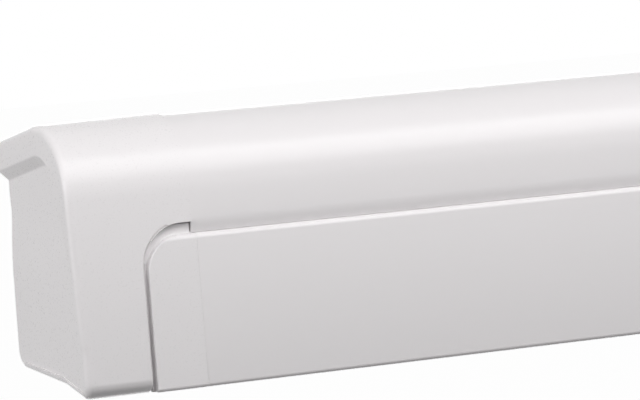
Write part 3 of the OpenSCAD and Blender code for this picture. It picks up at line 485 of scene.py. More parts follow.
def add_tube(node, slot, body, centre, width, height, wall, corner, tilt=0.0):
    """A rounded box tube, which stands for a solid and runs as far along X, through a centre.

    width is across Y and height along Z, before the tube is tilted about its length."""
    low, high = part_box(node)
    start = Vector((low.x, centre.y, centre.z))
    turn = Matrix.Translation(start) @ Matrix.Rotation(math.pi / 2, 4, "Y")
    bm = bmesh.new()
    plate = bmesh.ops.create_grid(bm, x_segments=1, y_segments=1, size=0.5, matrix=turn)["verts"]
    bmesh.ops.scale(bm, verts=plate, vec=(1.0, width, height), space=Matrix.Translation(-start))
    bmesh.ops.bevel(bm, geom=plate, offset=corner, offset_type="OFFSET", affect="VERTICES",
                    segments=TUBE_CORNER_STEPS, profile=0.5, material=-1)
    face = max(bm.faces, key=lambda f: f.calc_area())
    bmesh.ops.inset_region(bm, faces=[face], thickness=wall, use_boundary=True, use_even_offset=True)
    bmesh.ops.delete(bm, geom=[face], context="FACES_ONLY")
    drawn = bmesh.ops.extrude_face_region(bm, geom=bm.faces[:])
    bmesh.ops.translate(bm, verts=verts_of(drawn), vec=(high.x - low.x, 0, 0))
    if tilt:
        bmesh.ops.rotate(bm, verts=bm.verts[:], cent=start, matrix=Matrix.Rotation(tilt, 3, "X"))
    add_piece(node + "_shape", bm, slot, body, (node,))


def even_shading(piece):
    """Lets large faces rule the shading, so that flats stay flat beside small rounds."""
    even = piece.modifiers.new("even_shading", "WEIGHTED_NORMAL")
    even.keep_sharp = True


def welded(node):
    """A copy of a solid with its loose triangles welded."""
    bm = bmesh.new()
    bm.from_mesh(frame["nodes"][node].data)
    bmesh.ops.remove_doubles(bm, verts=bm.verts[:], dist=WELD)
    return bm


def join_flats(bm):
    bmesh.ops.dissolve_limit(bm, angle_limit=FLAT, verts=bm.verts[:], edges=bm.edges[:])


def round_edges(bm, edges, radius, steps):
    bmesh.ops.bevel(bm, geom=edges, offset=radius, offset_type="OFFSET", affect="EDGES", segments=steps,
                    profile=0.5, material=-1, clamp_overlap=False)


def foot_edges(bm):
    """The lower front edge of a shape."""
    low = min(v.co.z for v in bm.verts) + WELD
    return [e for e in bm.edges if max(v.co.z for v in e.verts) < low
            and any(f.normal.y < -FACING for f in e.link_faces)]


def beside(edge, point, reach):
    """Whether a point lies within reach of an edge."""
    start, end = (v.co for v in edge.verts)
    share = intersect_point_line(point, start, end)[1]
    return (start.lerp(end, min(max(share, 0.0), 1.0)) - point).length < reach


def rounded_copy(node, slot, body, radius, foot=0.0):
    """A copy of a solid with its sharp edges rounded, which stands for the solid.

    foot is a larger radius for the lower front edge."""
    solid = welded(node)
    join_flats(solid)
    if foot:
        round_edges(solid, foot_edges(solid), foot, FOOT_STEPS)
        solid.normal_update()
    solid.edges.index_update()
    skin = BVHTree.FromBMesh(solid)
    crisp = set()
    for _ in range(ROUND_TRIES):
        bm = solid.copy()
        bm.edges.index_update()
        edges = [e for e in bm.edges
                 if e.is_manifold and e.calc_face_angle() > SHARP and e.index not in crisp]
        round_edges(bm, edges, radius, ROUND_STEPS)
        # a round with no room beside it throws points off the skin, so its edge stays crisp
        stray = {v for v in bm.verts if skin.find_nearest(v.co)[3] > STRAY_PART * radius}
        if not stray:
            break
        roots = [n.co.copy() for v in stray for n in (e.other_vert(v) for e in v.link_edges)
                 if n not in stray]
        bm.free()
        crisp.update(e.index for e in solid.edges
                     if any(beside(e, root, REACH_PART * radius) for root in roots))
    else:
        raise RuntimeError(f"{node} can't be rounded")
    solid.free()
    even_shading(add_piece(node + "_shape", bm, slot, body, (node,)))


def dress_node(node, slot):
    """Gives a solid that stays its finish."""
    materials = frame["nodes"][node].data.materials
    materials.clear()
    materials.append(finish(slot))


# Operators


class AWNING_OT_case(bpy.types.Operator):
    """Make the extruded case with its hood, hanging rail and floor"""

    bl_idname = "awning.case"
    bl_label = "Case"

    def execute(self, context):
        s = sizes()
        low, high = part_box("cassette_profile")
        lip_x = -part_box("left_end_cap")[1].x
        bm = bmesh.new()
        for start_x, end_x, lip in ((-lip_x, lip_x, True), (low.x, -lip_x, False), (lip_x, high.x, False)):
            extrude_section(bm, end_x, self.section(bm, s, start_x, lip))
        add_piece("case_profile", bm, "case_paint", "case", ("cassette_profile",))
        return {"FINISHED"}

    @staticmethod
    def section(bm, s, x, lip):
        """Draws the profile at x, with the hood's lower edge or cut off over it."""
        drawn = set(bm.edges)
        crest_u = s.hood_u - s.hood_radius * math.sin(s.top_pitch)
        crest_w = s.hood_w + s.hood_radius * math.cos(s.top_pitch)
        turn_w = crest_w + ((s.back_radius - crest_u) * math.sin(s.top_pitch) - s.back_radius) / math.cos(
            s.top_pitch)
        # outside: floor, back wall with the hanging rail, top and hood
        pen = Pen(bm, x, s.floor_depth, s.floor_w)
        pen.line((s.case_corner, s.floor_w))
        pen.arc(s.case_corner, s.floor_w + s.case_corner, -math.pi / 2)
        pen.line((0, s.rail_low), (s.rail_depth, s.rail_low), (s.rail_depth, s.rail_high),
                 (s.rail_lip, s.rail_high), (s.rail_lip, s.rail_mouth), (0, s.rail_mouth), (0, turn_w))
        pen.arc(s.back_radius, turn_w, s.top_pitch - math.pi / 2)
        pen.line((crest_u, crest_w))
        pen.arc(s.hood_u, s.hood_w, -math.pi / 2 - s.top_pitch)
        pen.line((s.hood_u + s.hood_radius, s.bend_w))
        # the hood's lower edge bends in and carries the seal's flange
        bend_u = s.hood_u + s.hood_radius - s.bend_radius
        inner = s.bend_radius - s.wall
        drop = s.bend_w - (s.seam_w if lip else s.lip_cut_w)
        pen.arc(bend_u, s.bend_w, -math.asin(drop / s.bend_radius))
        pen.line((bend_u + math.sqrt(inner ** 2 - drop ** 2), s.bend_w - drop))
        if lip:
            under = s.bend_w - s.flange_w
            over = under - s.wall
            pen.arc(bend_u, s.bend_w, math.asin(drop / inner) - math.asin(under / inner))
            pen.line((s.flange_u, s.flange_w), (s.flange_u, s.flange_w + s.wall),
                     (bend_u + math.sqrt(inner ** 2 - over ** 2), s.flange_w + s.wall))
            drop = over
        pen.arc(bend_u, s.bend_w, math.asin(drop / inner))
        # inside, back to the floor's upturned lip
        pen.line((s.hood_u + s.hood_radius - s.wall, s.hood_w))
        pen.arc(s.hood_u, s.hood_w, math.pi / 2 + s.top_pitch)
        turn_r = s.back_radius - s.wall
        pen.line((s.back_radius - turn_r * math.sin(s.top_pitch), turn_w + turn_r * math.cos(s.top_pitch)))
        pen.arc(s.back_radius, turn_w, math.pi / 2 - s.top_pitch)
        pen.line((s.wall, s.rail_high + s.wall), (s.rail_depth + s.wall, s.rail_high + s.wall),
                 (s.rail_depth + s.wall, s.rail_low - s.wall), (s.wall, s.rail_low - s.wall),
                 (s.wall, s.floor_w + s.case_corner))
        pen.arc(s.case_corner, s.floor_w + s.case_corner, math.pi / 2)
        pen.line((s.floor_depth - s.wall, s.floor_w + s.wall),
                 (s.floor_depth - s.wall, s.floor_w + s.floor_lip),
                 (s.floor_depth, s.floor_w + s.floor_lip))
        pen.close()
        return [edge for edge in bm.edges if edge not in drawn]


class AWNING_OT_lead_bar(bpy.types.Operator):
    """Make the lead bar with its box, keder groove and leaning front"""

    bl_idname = "awning.lead_bar"
    bl_label = "Lead Bar"

    def execute(self, context):
        s = sizes()
        low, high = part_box("lead_bar_profile")
        top = round(high.z - FOOT_Z, 3)
        lean = s.bar_lean / top

        def front(w):
            return s.bar_front + s.bar_lean - lean * w

        mouth_out = math.asin(s.keder_slot / s.keder_boss)
        mouth_in = math.asin(s.keder_slot / s.keder_bore)
        root = math.acos((s.keder_u - s.bar_rear) / s.keder_boss)
        bm = bmesh.new()
        pen = Pen(bm, low.x, front(s.bar_foot) - s.bar_foot, 0)
        pen.arc(front(s.bar_foot) - s.bar_foot, s.bar_foot, math.pi / 2)
        pen.line((front(top - s.bar_round), top - s.bar_round))
        pen.arc(front(top - s.bar_round) - s.bar_round, top - s.bar_round, math.pi / 2)
        pen.line((s.bar_rear, top), (s.bar_rear, s.keder_w + s.keder_boss * math.sin(root)))
        pen.arc(s.keder_u, s.keder_w, root - mouth_out)
        pen.line((s.keder_u - s.keder_bore * math.cos(mouth_in), s.keder_w + s.keder_slot))
        pen.arc(s.keder_u, s.keder_w, 2 * (mouth_in - math.pi))
        pen.line((s.keder_u - s.keder_boss * math.cos(mouth_out), s.keder_w - s.keder_slot))
        pen.arc(s.keder_u, s.keder_w, root - mouth_out)
        pen.line((s.bar_rear, s.bar_web), (front(s.bar_web) - s.wall, s.bar_web),
                 (front(s.bead) - s.wall, s.bead), (front(s.bead) - s.bead, s.bead),
                 (front(0) - s.bead, 0))
        pen.close()
        # hollow of the box, round the groove's boss
        near = s.bar_rear + s.wall
        swell = math.acos((near - s.keder_u) / s.keder_boss)
        low_w, high_w = s.bar_web + s.wall, top - s.wall
        pen = Pen(bm, low.x, near, high_w)
        pen.line((near, s.keder_w + s.keder_boss * math.sin(swell)))
        pen.arc(s.keder_u, s.keder_w, -2 * swell)
        pen.line((near, low_w), (front(low_w) - s.wall, low_w), (front(high_w) - s.wall, high_w))
        pen.close()
        extrude_section(bm, high.x)
        add_piece("lead_bar_shape", bm, "case_paint", "lead_bar", ("lead_bar_profile",))
        return {"FINISHED"}


class AWNING_OT_caps(bpy.types.Operator):
    """Make the moulded end caps of the case and of the lead bar"""

    bl_idname = "awning.caps"
    bl_label = "End Caps"

    # how far the corners of visor and panel, and of the rim's fall, are softened; the step's width
    SOFT = 0.7 * MM
    FALL_SOFT = 0.3 * MM
    STEP_RUN = 0.15 * MM
    # the step starts so far above the hood's centre and has its full depth so much lower, and it
    # goes where the edge's inward normal has this share towards the front
    STEP_TOP = 4 * MM
    STEP_FADE = 14 * MM
    STEP_BACK = 0.5
    # the panel comes out from this part of the hood centre's height, over that part of it
    PANEL_LOW = 0.6
    PANEL_RUN = 0.5
    # the sleeve's underside is bent from behind to ahead of the dip, with this fall
    BEND_BEHIND = 3 * MM
    BEND_AHEAD = 1 * MM
    BEND_HEIGHT = 0.6 * MM
    UNDER_FALL = 0.1
    # how exactly the solid is cut, and where its cut-out's edges are: their least fold, their
    # distance from the cap's end and their least distance from the back
    CUT = 0.001 * MM
    NOTCH_FOLD = math.radians(45)
    NOTCH_NEAR = 36 * MM
    NOTCH_FAR = 62 * MM
    NOTCH_FRONT = 66 * MM
    # the panel's rings close in on this point: how near they come, and where they lie on the way
    CENTRE = Vector((46.0 * MM, 58.0 * MM))
    LAST_RING = 0.97
    PANEL_RINGS = (0.2, 0.45, 0.7, 0.88, 1.0)
    RING_GAP = 0.006
    HALVINGS = 30
    # points along the outline and round the end's edge
    EDGE_STEPS = 6
    CORNER_STEPS = 12
    BACK_STEPS = 24
    BACK_TOP = 14 * MM
    HOOD_STEPS = 36
    FRONT_STEPS = 48
    UNDER_STEPS = 8
    NOTCH_STEPS = 4

    def execute(self, context):
        s = sizes()
        for side in SIDES:
            self.case_cap(s, side)
            rounded_copy(f"{side}_lead_cap", "cap_plastic", "lead_bar", s.cap_edge, foot=s.bar_foot)
        return {"FINISHED"}

    def case_cap(self, s, side):
        """The sleeve of the solid with a softened cut-out, and its moulded end modelled anew."""
        low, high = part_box(f"{side}_end_cap")
        inward, end_x = (1, low.x) if side == "left" else (-1, high.x)
        bm = welded(f"{side}_end_cap")
        bmesh.ops.bisect_plane(bm, geom=bm.verts[:] + bm.edges[:] + bm.faces[:], dist=self.CUT,
                               plane_co=(end_x + inward * s.cap_end, 0, 0), plane_no=(-inward, 0, 0),
                               clear_outer=True)
        bmesh.ops.triangle_fill(bm, edges=[e for e in bm.edges if e.is_boundary], use_beauty=True)
        join_flats(bm)
        bmesh.ops.recalc_face_normals(bm, faces=bm.faces[:])
        round_edges(bm, self.notch_edges(bm, end_x), s.notch_edge, self.NOTCH_STEPS)
        # the underside falls in one line from the back to the lip
        for vert in bm.verts:
            behind = s.dip_u - (BACK_Y - vert.co.y)
            over = vert.co.z - FOOT_Z - (s.floor_w - s.cap_proud)
            if -self.BEND_AHEAD < behind < self.BEND_BEHIND and abs(over) < self.BEND_HEIGHT:
                vert.co.z = FOOT_Z + s.dip_w + behind * self.UNDER_FALL
        self.moulded_end(s, bm, end_x, inward)
        # the mould's draft lowers the hood towards the outer end
        span = high.x - low.x
        for vert in bm.verts:
            over = vert.co.z - FOOT_Z - s.hood_w
            if over > 0:
                vert.co.z -= s.cap_draft * (over / s.hood_radius) * (1 - abs(vert.co.x - end_x) / span)
        even_shading(add_piece(f"{side}_end_cap_shape", bm, "cap_plastic", "case", (f"{side}_end_cap",)))

    def notch_edges(self, bm, end_x):
        """Edges of the cut-out where it breaks through the cap's front and underside."""
        found = []
        for edge in bm.edges:
            if not edge.is_manifold or edge.calc_face_angle() < self.NOTCH_FOLD:
                continue
            middle = (edge.verts[0].co + edge.verts[1].co) / 2
            outer = any(min(f.normal.yz) < -FACING for f in edge.link_faces)
            across = any(abs(f.normal.x) > FACING / 2 for f in edge.link_faces)
            if outer and across and BACK_Y - middle.y > self.NOTCH_FRONT and (
                    self.NOTCH_NEAR < abs(middle.x - end_x) < self.NOTCH_FAR):
                found.append(edge)
        return found

    def moulded_end(self, s, bm, end_x, inward):
        """Rings from the sleeve out round the edge, over the rim and in to the panel's middle."""
        outline = self.outline(s)
        count = len(outline)
        normals = []
        for i in range(count):
            along = outline[(i + 1) % count] - outline[i - 1]
            normals.append(Vector((along.y, -along.x)).normalized())
        # the edge is round, except down the back
        rounds = [s.cap_edge + (s.cap_round - s.cap_edge) * (1 - max(0.0, n.x)) for n in normals]
        rim = [p + n * r for p, n, r in zip(outline, normals, rounds)]
        # the front and lower edge stand a step over the side
        depth = [self.end_depth(s, p) + self.step(s, p) * min(1.0, max(0.0, n.x / self.STEP_BACK))
                 for p, n in zip(rim, normals)]
        rings = []
        for i in range(self.EDGE_STEPS + 1):
            turn = math.radians(90 * i / self.EDGE_STEPS)
            inset, sink = 1 - math.cos(turn), 1 - math.sin(turn)
            rings.append([(p + n * r * inset, d + r * sink)
                          for p, n, r, d in zip(outline, normals, rounds, depth)])
        rings.append([(p + n * self.STEP_RUN, self.end_depth(s, p) + self.step(s, p))
                      for p, n in zip(rim, normals)])
        stops = [self.stops(s, p) for p in rim]
        for k in range(len(stops[0])):
            spots = [p.lerp(self.CENTRE, stop[k]) for p, stop in zip(rim, stops)]
            rings.append([(p, self.end_depth(s, p) + self.step(s, p)) for p in spots])
        pen = Pen(bm, end_x + inward * s.cap_end, *outline[0])
        pen.line(*outline[1:])
        pen.close()
        loop = pen.verts
        edges = [bm.edges.get((loop[i - 1], loop[i])) for i in range(count)]
        bmesh.ops.contextual_create(bm, geom=edges)
        for ring in rings:
            fresh = set(verts_of(bmesh.ops.extrude_edge_only(bm, edges=edges)))
            loop = [next(e.other_vert(v) for e in v.link_edges if e.other_vert(v) in fresh) for v in loop]
            for vert, (p, d) in zip(loop, ring):
                vert.co = section_point(end_x + inward * d, *p)
            edges = [bm.edges.get((loop[i - 1], loop[i])) for i in range(count)]
        bmesh.ops.contextual_create(bm, geom=edges)

    def stops(self, s, rim):
        """How far along the way from the rim to the panel's middle each ring lies."""
        levels = (s.rim_height + self.SOFT, s.rim_height, s.rim_height - self.SOFT,
                  self.SOFT, 0.0, -self.SOFT)
        found = []
        for level in levels:
            near, far = 0.0, 1.0
            for _ in range(self.HALVINGS):
                middle = (near + far) / 2
                if self.over_panel(s, rim.lerp(self.CENTRE, middle)) > level:
                    near = middle
                else:
                    far = middle
            found.append(max(near, (found[-1] if found else 0.0) + self.RING_GAP))
        edge = found[-1]
        return found + [edge + (self.LAST_RING - edge) * part for part in self.PANEL_RINGS]

    def outline(self, s):
        """Points round an end cap, clockwise as seen from the left, from the foot of its back."""
        radius = s.hood_radius + s.cap_proud
        pitch = s.top_pitch
        crest = Vector((s.hood_u, s.hood_w))
        corner = Vector((s.case_corner, s.floor_w + s.case_corner))
        top = crest + radius * Vector((-math.sin(pitch), math.cos(pitch)))
        turn_r = s.back_radius + s.cap_proud
        turn_u = s.back_radius
        turn = Vector((turn_u, top.y + ((turn_u - top.x) * math.sin(pitch) - turn_r) / math.cos(pitch)))
        front = s.hood_u + radius
        lip = Vector((front + s.bar_lean - s.cap_lip, s.cap_lip))
        points = []

        def arc(centre, r, first, last, steps):
            for i in range(steps + 1):
                a = math.radians(first + (last - first) * i / steps)
                points.append(centre + r * Vector((math.cos(a), math.sin(a))))

        def line(end, steps):
            begin = points[-1]
            points.extend(begin.lerp(end, i / steps) for i in range(1, steps))

        arc(corner, s.case_corner + s.cap_proud, 270, 180, self.CORNER_STEPS)
        line(Vector((-s.cap_proud, turn.y - self.BACK_TOP)), self.BACK_STEPS)
        line(Vector((-s.cap_proud, turn.y)), self.BACK_STEPS)
        arc(turn, turn_r, 180, 90 + math.degrees(pitch), self.CORNER_STEPS)
        line(top, self.CORNER_STEPS)
        arc(crest, radius, 90 + math.degrees(pitch), 0, self.HOOD_STEPS)
        line(lip + Vector((s.cap_lip, 0)), self.FRONT_STEPS)
        arc(lip, s.cap_lip, 0, -90, self.CORNER_STEPS)
        line(Vector((s.dip_u, s.dip_w)), self.UNDER_STEPS)
        points.append(Vector((s.dip_u, s.dip_w)))
        line(corner - Vector((0, s.case_corner + s.cap_proud)), self.CORNER_STEPS)
        return points

    @staticmethod
    def over_panel(s, p):
        """Distance of a point from the side panel's edge, positive towards the rim."""
        radius = s.hood_radius + s.cap_proud - s.rim_width
        off = p - Vector((s.hood_u, s.hood_w))
        if off.y < 0:
            run = (s.hood_w - p.y) / (s.hood_w - s.rim_foot_w)
            foot_u = s.hood_u + s.hood_radius + s.cap_proud + s.bar_lean
            return off.x - radius - run * (foot_u - s.hood_u - radius)
        if off.x < -off.y * math.tan(s.top_pitch):
            return off.y * math.cos(s.top_pitch) - off.x * math.sin(s.top_pitch) - radius
        return off.length - radius

    def step(self, s, p):
        """Depth of the side behind its front edge, which runs out under the hood's round."""
        return s.end_step * ease((s.hood_w + self.STEP_TOP - p.y) / self.STEP_FADE)

    @staticmethod
    def ramp(t, top, soft):
        """Follows t from 0 to top, with soft corners at both."""
        if t < -soft:
            return 0.0
        if t < soft:
            return (t + soft) ** 2 / (4 * soft)
        if t < top - soft:
            return t
        if t < top + soft:
            return top - (top + soft - t) ** 2 / (4 * soft)
        return top

    def end_depth(self, s, p):
        """How far the end's surface lies behind its outermost plane."""
        out = 1 - ease((p.y - self.PANEL_LOW * s.hood_w) / (self.PANEL_RUN * s.hood_w))
        panel = s.rim_height - s.panel_rise * out
        fall = (s.rim_height - s.panel_rise) * (s.hood_w - p.y) / (s.hood_w - s.floor_w + s.cap_proud)
        return max(self.ramp(panel - self.over_panel(s, p), panel, self.SOFT),
                   self.ramp(fall, s.rim_height, self.FALL_SOFT))


class AWNING_OT_canopy(bpy.types.Operator):
    """Wind the canopy on its roller and lead it to the keder groove"""

    bl_idname = "awning.canopy"
    bl_label = "Canopy"

    # points in a turn of the roll, along the flap, and round the tube and the cord
    TURN_STEPS = 48
    FLAP_STEPS = 24
    TUBE_STEPS = 96
    CORD_STEPS = 24

    def execute(self, context):
        s = sizes()
        low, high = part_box("canopy_roll")
        tube_low, tube_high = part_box("roller_tube")
        axis = JOINT_AT["roller_turn"]
        outer = (high.y - low.y) / 2
        tube_r = (tube_high.y - tube_low.y) / 2
        bm = bmesh.new()
        for radius in (tube_r, tube_r - s.wall):
            circle_section(bm, Vector((tube_low.x, axis.y, axis.z)), radius, self.TUBE_STEPS)
        extrude_section(bm, tube_high.x)
        add_piece("roller_tube_shape", bm, "roller_aluminium", "roller", ("roller_tube",))

        # the cloth leaves the roll at its underside, on the line that runs to the groove
        keder = section_point(0, s.keder_u, s.keder_w)
        reach = math.hypot(keder.y - axis.y, keder.z - axis.z)
        to_keder = math.atan2(keder.z - axis.z, axis.y - keder.y)
        leave = to_keder - math.acos(outer / reach)
        turns = (outer - tube_r - s.cloth_pitch / 2) / s.cloth_pitch
        steps = round(turns * self.TURN_STEPS)
        wound, last, spiral = 0.0, None, []
        for i in range(steps + 1):
            part = i / steps
            radius = outer - s.cloth_pitch * turns * (1 - part)
            turn = leave + 2 * math.pi * turns * (part - 1)
            place = Vector((0, axis.y - radius * math.cos(turn), axis.z + radius * math.sin(turn)))
            wound += (place - last).length if last else 0.0
            last = place
            spiral.append((place, wound))
        bm = self.strip(low.x, high.x, spiral)
        roll = add_piece("canopy_wound", bm, "canopy_cloth", "roller", ("canopy_roll",))

        # the stretch from the roll to the groove, which the lead bar draws out
        end = keder + (last - keder).normalized() * s.keder_rod
        parts = [i / self.FLAP_STEPS for i in range(self.FLAP_STEPS + 1)]
        bm = self.strip(low.x, high.x, [(last.lerp(end, p), p * (end - last).length) for p in parts])
        flap = add_piece("canopy_flap", bm, "canopy_cloth", "case")
        group = flap.vertex_groups.new(name="drawn")
        ys = [vert.co.y for vert in flap.data.vertices]
        for vert in flap.data.vertices:
            group.add([vert.index], (max(ys) - vert.co.y) / (max(ys) - min(ys)), "REPLACE")
        hook = flap.modifiers.new("drawn_by_lead_bar", "HOOK")
        hook.object = frame["bodies"]["lead_bar"]
        hook.matrix_inverse = frame["bodies"]["lead_bar"].matrix_world.inverted()
        hook.vertex_group = "drawn"
        for piece in (roll, flap):
            thick = piece.modifiers.new("cloth", "SOLIDIFY")
            thick.thickness = s.cloth_thickness
            thick.offset = 0.0

        # the hem's cord in the groove
        bm = bmesh.new()
        circle_section(bm, section_point(low.x, s.keder_u, s.keder_w), s.keder_rod, self.CORD_STEPS)
        extrude_section(bm, high.x)
        layer = bm.loops.layers.uv.new("cloth")
        for face in bm.faces:
            for loop in face.loops:
                loop[layer].uv = (loop.vert.co.x, loop.vert.co.z)
        rod = add_piece("canopy_keder", bm, "canopy_cloth", "lead_bar", ("canopy_hem",))
        return {"FINISHED"}

    @staticmethod
    def strip(x0, x1, places):
        """A strip of cloth from x0 to x1 over a row of places, each with its distance along the cloth."""
        bm = bmesh.new()
        steps = len(places) - 1
        bmesh.ops.create_grid(bm, x_segments=2, y_segments=steps, size=1.0)
        layer = bm.loops.layers.uv.new("cloth")
        rows = {vert: places[round((vert.co.y + 1) / 2 * steps)] for vert in bm.verts}
        for vert, (place, _) in rows.items():
            vert.co = (x0 + (x1 - x0) * (vert.co.x + 1) / 2, place.y, place.z)
        for face in bm.faces:
            for loop in face.loops:
                loop[layer].uv = (loop.vert.co.x, rows[loop.vert][1])
        return bm


class AWNING_OT_arms(bpy.types.Operator):
    """Make the folding arms: tubes, knuckles, forks, tongues and pins"""

    bl_idname = "awning.arms"
    bl_label = "Arms"

    def execute(self, context):
        s = sizes()
        # the arms' plane falls towards the front
        lift = JOINT_AXIS["left_shoulder"]
        tilt = math.atan2(lift.y, -lift.z)
        for side in SIDES:
            upper, fore = f"{side}_upper_arm", f"{side}_forearm"
            # the right wrist is the pivot left open, and lies as the left one does
            for node, body, pivot in (("upper_tube", upper, f"{side}_shoulder"),
                                      ("forearm_tube", fore, "left_wrist")):
                add_tube(f"{side}_{node}", "arm_paint", body, JOINT_AT[pivot], s.arm_depth, s.arm_height,
                         s.wall, s.arm_round, tilt)
            dress_node(f"{side}_arm_spring", "spring_steel")
            for piece, body in (("shoulder_knuckle", upper), ("elbow_fork", upper), ("elbow_tongue", fore),
                                ("wrist_knuckle", fore), ("shoulder_bracket", "case"),
                                ("wrist_bracket", "lead_bar")):
                rounded_copy(f"{side}_{piece}", "cast_aluminium", body, s.cast_edge)
            rounded_copy(f"{side}_elbow_pin", "steel", upper, s.pin_edge)
        rounded_copy("shoulder_pins", "steel", "case", s.pin_edge)
        rounded_copy("wrist_pins", "steel", "lead_bar", s.pin_edge)
        return {"FINISHED"}


class AWNING_OT_legs(bpy.types.Operator):
    """Make the telescopic legs that lie in the lead bar"""

    bl_idname = "awning.legs"
    bl_label = "Legs"

    def execute(self, context):
        s = sizes()
        for side in SIDES:
            leg, slider = f"{side}_leg", f"{side}_leg_slider"
            low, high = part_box(f"{side}_leg_tube")
            add_tube(f"{side}_leg_tube", "leg_aluminium", leg, (low + high) / 2, high.y - low.y,
                     high.z - low.z, s.leg_wall, s.leg_round)
            rounded_copy(f"{side}_inner_leg", "leg_aluminium", slider, s.thin_edge)
            rounded_copy(f"{side}_leg_bracket", "cast_aluminium", "lead_bar", s.pin_edge)
            for piece, body, radius in (("leg_knuckle", leg, s.cast_edge), ("leg_collar", leg, s.cast_edge),
                                        ("leg_lever", f"{side}_leg_clamp", s.cast_edge),
                                        ("foot", f"{side}_leg_foot", s.cap_edge)):
                rounded_copy(f"{side}_{piece}", "leg_plastic", body, radius)
        rounded_copy("leg_clips", "black_nylon", "lead_bar", s.thin_edge)
        return {"FINISHED"}


class AWNING_OT_fittings(bpy.types.Operator):
    """Finish the end plates, wall brackets, gear, roller plugs, screws and the hood's seal"""

    bl_idname = "awning.fittings"
    bl_label = "Fittings"

    def execute(self, context):
        s = sizes()
        for side in SIDES:
            rounded_copy(f"{side}_end_plate", "cast_aluminium", "case", s.pin_edge)
        for place in ("left", "middle", "right"):
            rounded_copy(f"wall_bracket_{place}", "bracket_aluminium", "case", s.plug_edge)
        rounded_copy("gear_housing", "black_nylon", "case", s.cap_edge)
        for piece, body in (("bush", "case"), ("idler_plug", "roller"), ("drive_plug", "roller")):
            rounded_copy(f"roller_{piece}", "black_nylon", body, s.plug_edge)
        rounded_copy("case_screws", "steel", "case", s.thin_edge)
        rounded_copy("crank_eye", "steel", "crank", s.plug_edge)
        rounded_copy("hood_seal", "seal_rubber", "case", s.cap_edge)
        return {"FINISHED"}


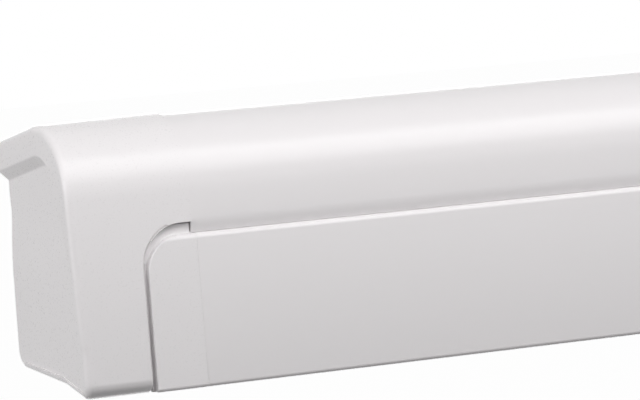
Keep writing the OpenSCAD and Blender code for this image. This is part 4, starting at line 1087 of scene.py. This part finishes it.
class AWNING_OT_stage(bpy.types.Operator):
    """Set the floor, the room's light, the lamps and the camera"""

    bl_idname = "awning.stage"
    bl_label = "Stage"

    # half the floor's width, its paint, and how bright it shows
    FLOOR_HALF = 60.0
    FLOOR_GREY = (0.55, 0.55, 0.55, 1)
    FLOOR_SEEN = 0.97
    # the room's light from above and from below blend across this much of the horizon
    HORIZON = 0.2
    # the camera's sensor in millimetres, how far it sees, and what it looks at: the left end of
    # the awning, where the cap meets the hood
    SENSOR = 36.0
    FAR = 200.0
    AIM = Vector((-1.1562, -0.06575, 0.02136))

    def execute(self, context):
        stage = context.scene.awning_stage
        context.scene.view_settings.view_transform = "Standard"
        self.room(context.scene, stage)
        self.floor(stage)
        self.lamps(stage)
        self.camera(context.scene, stage)
        return {"FINISHED"}

    @staticmethod
    def by_ray(tree, soft, seen):
        """A strength that is soft as light on the object, and another where camera or gloss see it."""
        path = add_node(tree, "ShaderNodeLightPath")
        straight = add_node(tree, "ShaderNodeMath", {"operation": "MAXIMUM"}, {
            0: path.outputs["Is Camera Ray"], 1: path.outputs["Is Transmission Ray"]})
        shown = add_node(tree, "ShaderNodeMath", {"operation": "MAXIMUM"}, {
            0: straight.outputs[0], 1: path.outputs["Is Glossy Ray"]})
        return add_node(tree, "ShaderNodeMix", inputs={0: shown.outputs[0], 2: soft, 3: seen}).outputs[0]

    def room(self, scene, stage):
        # A white room: the camera sees it white, and its soft light comes a little from all round.
        world = bpy.data.worlds.new("white_room")
        tree = empty_tree(world)
        way = add_node(tree, "ShaderNodeSeparateXYZ", inputs={
            0: add_node(tree, "ShaderNodeTexCoord").outputs["Generated"]})
        soft = add_node(tree, "ShaderNodeMapRange", inputs={
            "Value": way.outputs["Z"], "From Min": -self.HORIZON, "From Max": self.HORIZON,
            "To Min": stage.ground, "To Max": stage.sky})
        light = add_node(tree, "ShaderNodeBackground", inputs={
            "Color": (1, 1, 1, 1), "Strength": self.by_ray(tree, soft.outputs[0], 1.0)})
        add_node(tree, "ShaderNodeOutputWorld", inputs={"Surface": light.outputs[0]})
        scene.world = world

    def floor(self, stage):
        bm = bmesh.new()
        bmesh.ops.create_grid(bm, x_segments=1, y_segments=1, size=self.FLOOR_HALF,
                              matrix=Matrix.Translation((0, 0, -stage.floor_drop)))
        # A pale matt floor that shows as white and still takes the awning's shadow. From below
        # it is clear, so that it hides nothing.
        material = bpy.data.materials.new("pale_floor")
        tree = empty_tree(material)
        matt = add_node(tree, "ShaderNodeBsdfDiffuse", inputs={"Color": self.FLOOR_GREY})
        glow = add_node(tree, "ShaderNodeEmission", inputs={
            "Strength": self.by_ray(tree, stage.ground, self.FLOOR_SEEN)})
        lit = add_node(tree, "ShaderNodeAddShader", inputs={0: matt.outputs[0], 1: glow.outputs[0]})
        clear = add_node(tree, "ShaderNodeBsdfTransparent")
        under = add_node(tree, "ShaderNodeNewGeometry").outputs["Backfacing"]
        sided = add_node(tree, "ShaderNodeMixShader", inputs={
            0: under, 1: lit.outputs[0], 2: clear.outputs[0]})
        add_node(tree, "ShaderNodeOutputMaterial", inputs={"Surface": sided.outputs[0]})
        add_mesh("floor", bm, material)

    @staticmethod
    def lamp(name, place, aim, width, height, watts):
        data = bpy.data.lights.new(name, "AREA")
        data.shape = "RECTANGLE"
        data.size, data.size_y, data.energy = width, height, watts
        lamp = add_object(name, data)
        lamp.location = place
        lamp.rotation_euler = (Vector(aim) - Vector(place)).to_track_quat("-Z", "Y").to_euler()
        lamp.visible_camera = False

    def lamps(self, stage):
        """Each lamp has its place, the point it faces, its width, its height and its power."""
        hood = (-0.3, -0.06, 0.02)
        self.lamp("strip", (-0.3, -0.545, 0.778), hood, 5.0, 0.12, stage.strip)
        self.lamp("wash", (-0.3, -0.394, 0.321), hood, 5.0, 0.2, stage.wash)
        self.lamp("front", (-0.5, -4.4, 0.2), hood, 6.0, 1.6, stage.front)
        self.lamp("left_end", (-2.4, 0.1, 0.2), (-1.3, -0.05, 0.0), 0.6, 0.6, stage.end)
        self.lamp("right_end", (2.4, 0.1, 0.2), (1.3, -0.05, 0.0), 0.6, 0.6, stage.end)
        self.lamp("back", (0.0, 2.4, 0.3), (0.0, 0.0, 0.0), 2.0, 1.2, stage.back)
        self.lamp("under", (0.3, 1.3, -1.3), (0.3, 0.0, -0.06), 3.0, 0.8, stage.under)

    def camera(self, scene, stage):
        data = bpy.data.cameras.new("camera")
        data.sensor_width = self.SENSOR
        data.lens = stage.focal
        data.clip_end = self.FAR
        camera = add_object("camera", data)
        back = Vector((-math.sin(stage.azimuth) * math.cos(stage.elevation),
                       -math.cos(stage.azimuth) * math.cos(stage.elevation), math.sin(stage.elevation)))
        turn = (-back).to_track_quat("-Z", "Y").to_matrix() @ Matrix.Rotation(stage.roll, 3, "Z")
        camera.matrix_world = Matrix.Translation(self.AIM + back * stage.distance) @ turn.to_4x4()
        scene.camera = camera


class AWNING_PT_panel(bpy.types.Panel):
    """Lists the awning's pieces, sizes and colours"""

    bl_idname = "AWNING_PT_panel"
    bl_label = "Roll Out Awning"
    bl_space_type = "VIEW_3D"
    bl_region_type = "UI"
    bl_category = "Awning"

    def draw(self, context):
        for operator in OPERATORS:
            self.layout.operator(operator.bl_idname)
        for group in (context.scene.awning_sizes, context.scene.awning_colours, context.scene.awning_stage):
            column = self.layout.column(align=True)
            for name in group.__annotations__:
                column.prop(group, name)


OPERATORS = (AWNING_OT_case, AWNING_OT_lead_bar, AWNING_OT_caps, AWNING_OT_canopy, AWNING_OT_arms,
             AWNING_OT_legs, AWNING_OT_fittings, AWNING_OT_stage)
CLASSES = (AwningSizes, AwningColours, AwningStage, *OPERATORS, AWNING_PT_panel)


def register():
    for cls in CLASSES:
        bpy.utils.register_class(cls)
    bpy.types.Scene.awning_sizes = PointerProperty(type=AwningSizes)
    bpy.types.Scene.awning_colours = PointerProperty(type=AwningColours)
    bpy.types.Scene.awning_stage = PointerProperty(type=AwningStage)


def unregister():
    del bpy.types.Scene.awning_sizes
    del bpy.types.Scene.awning_colours
    del bpy.types.Scene.awning_stage
    for cls in reversed(CLASSES):
        bpy.utils.unregister_class(cls)


def main():
    register()
    bpy.ops.awning.case()
    bpy.ops.awning.lead_bar()
    bpy.ops.awning.caps()
    bpy.ops.awning.canopy()
    bpy.ops.awning.arms()
    bpy.ops.awning.legs()
    bpy.ops.awning.fittings()
    bpy.ops.awning.stage()


if __name__ == "__main__":
    main()
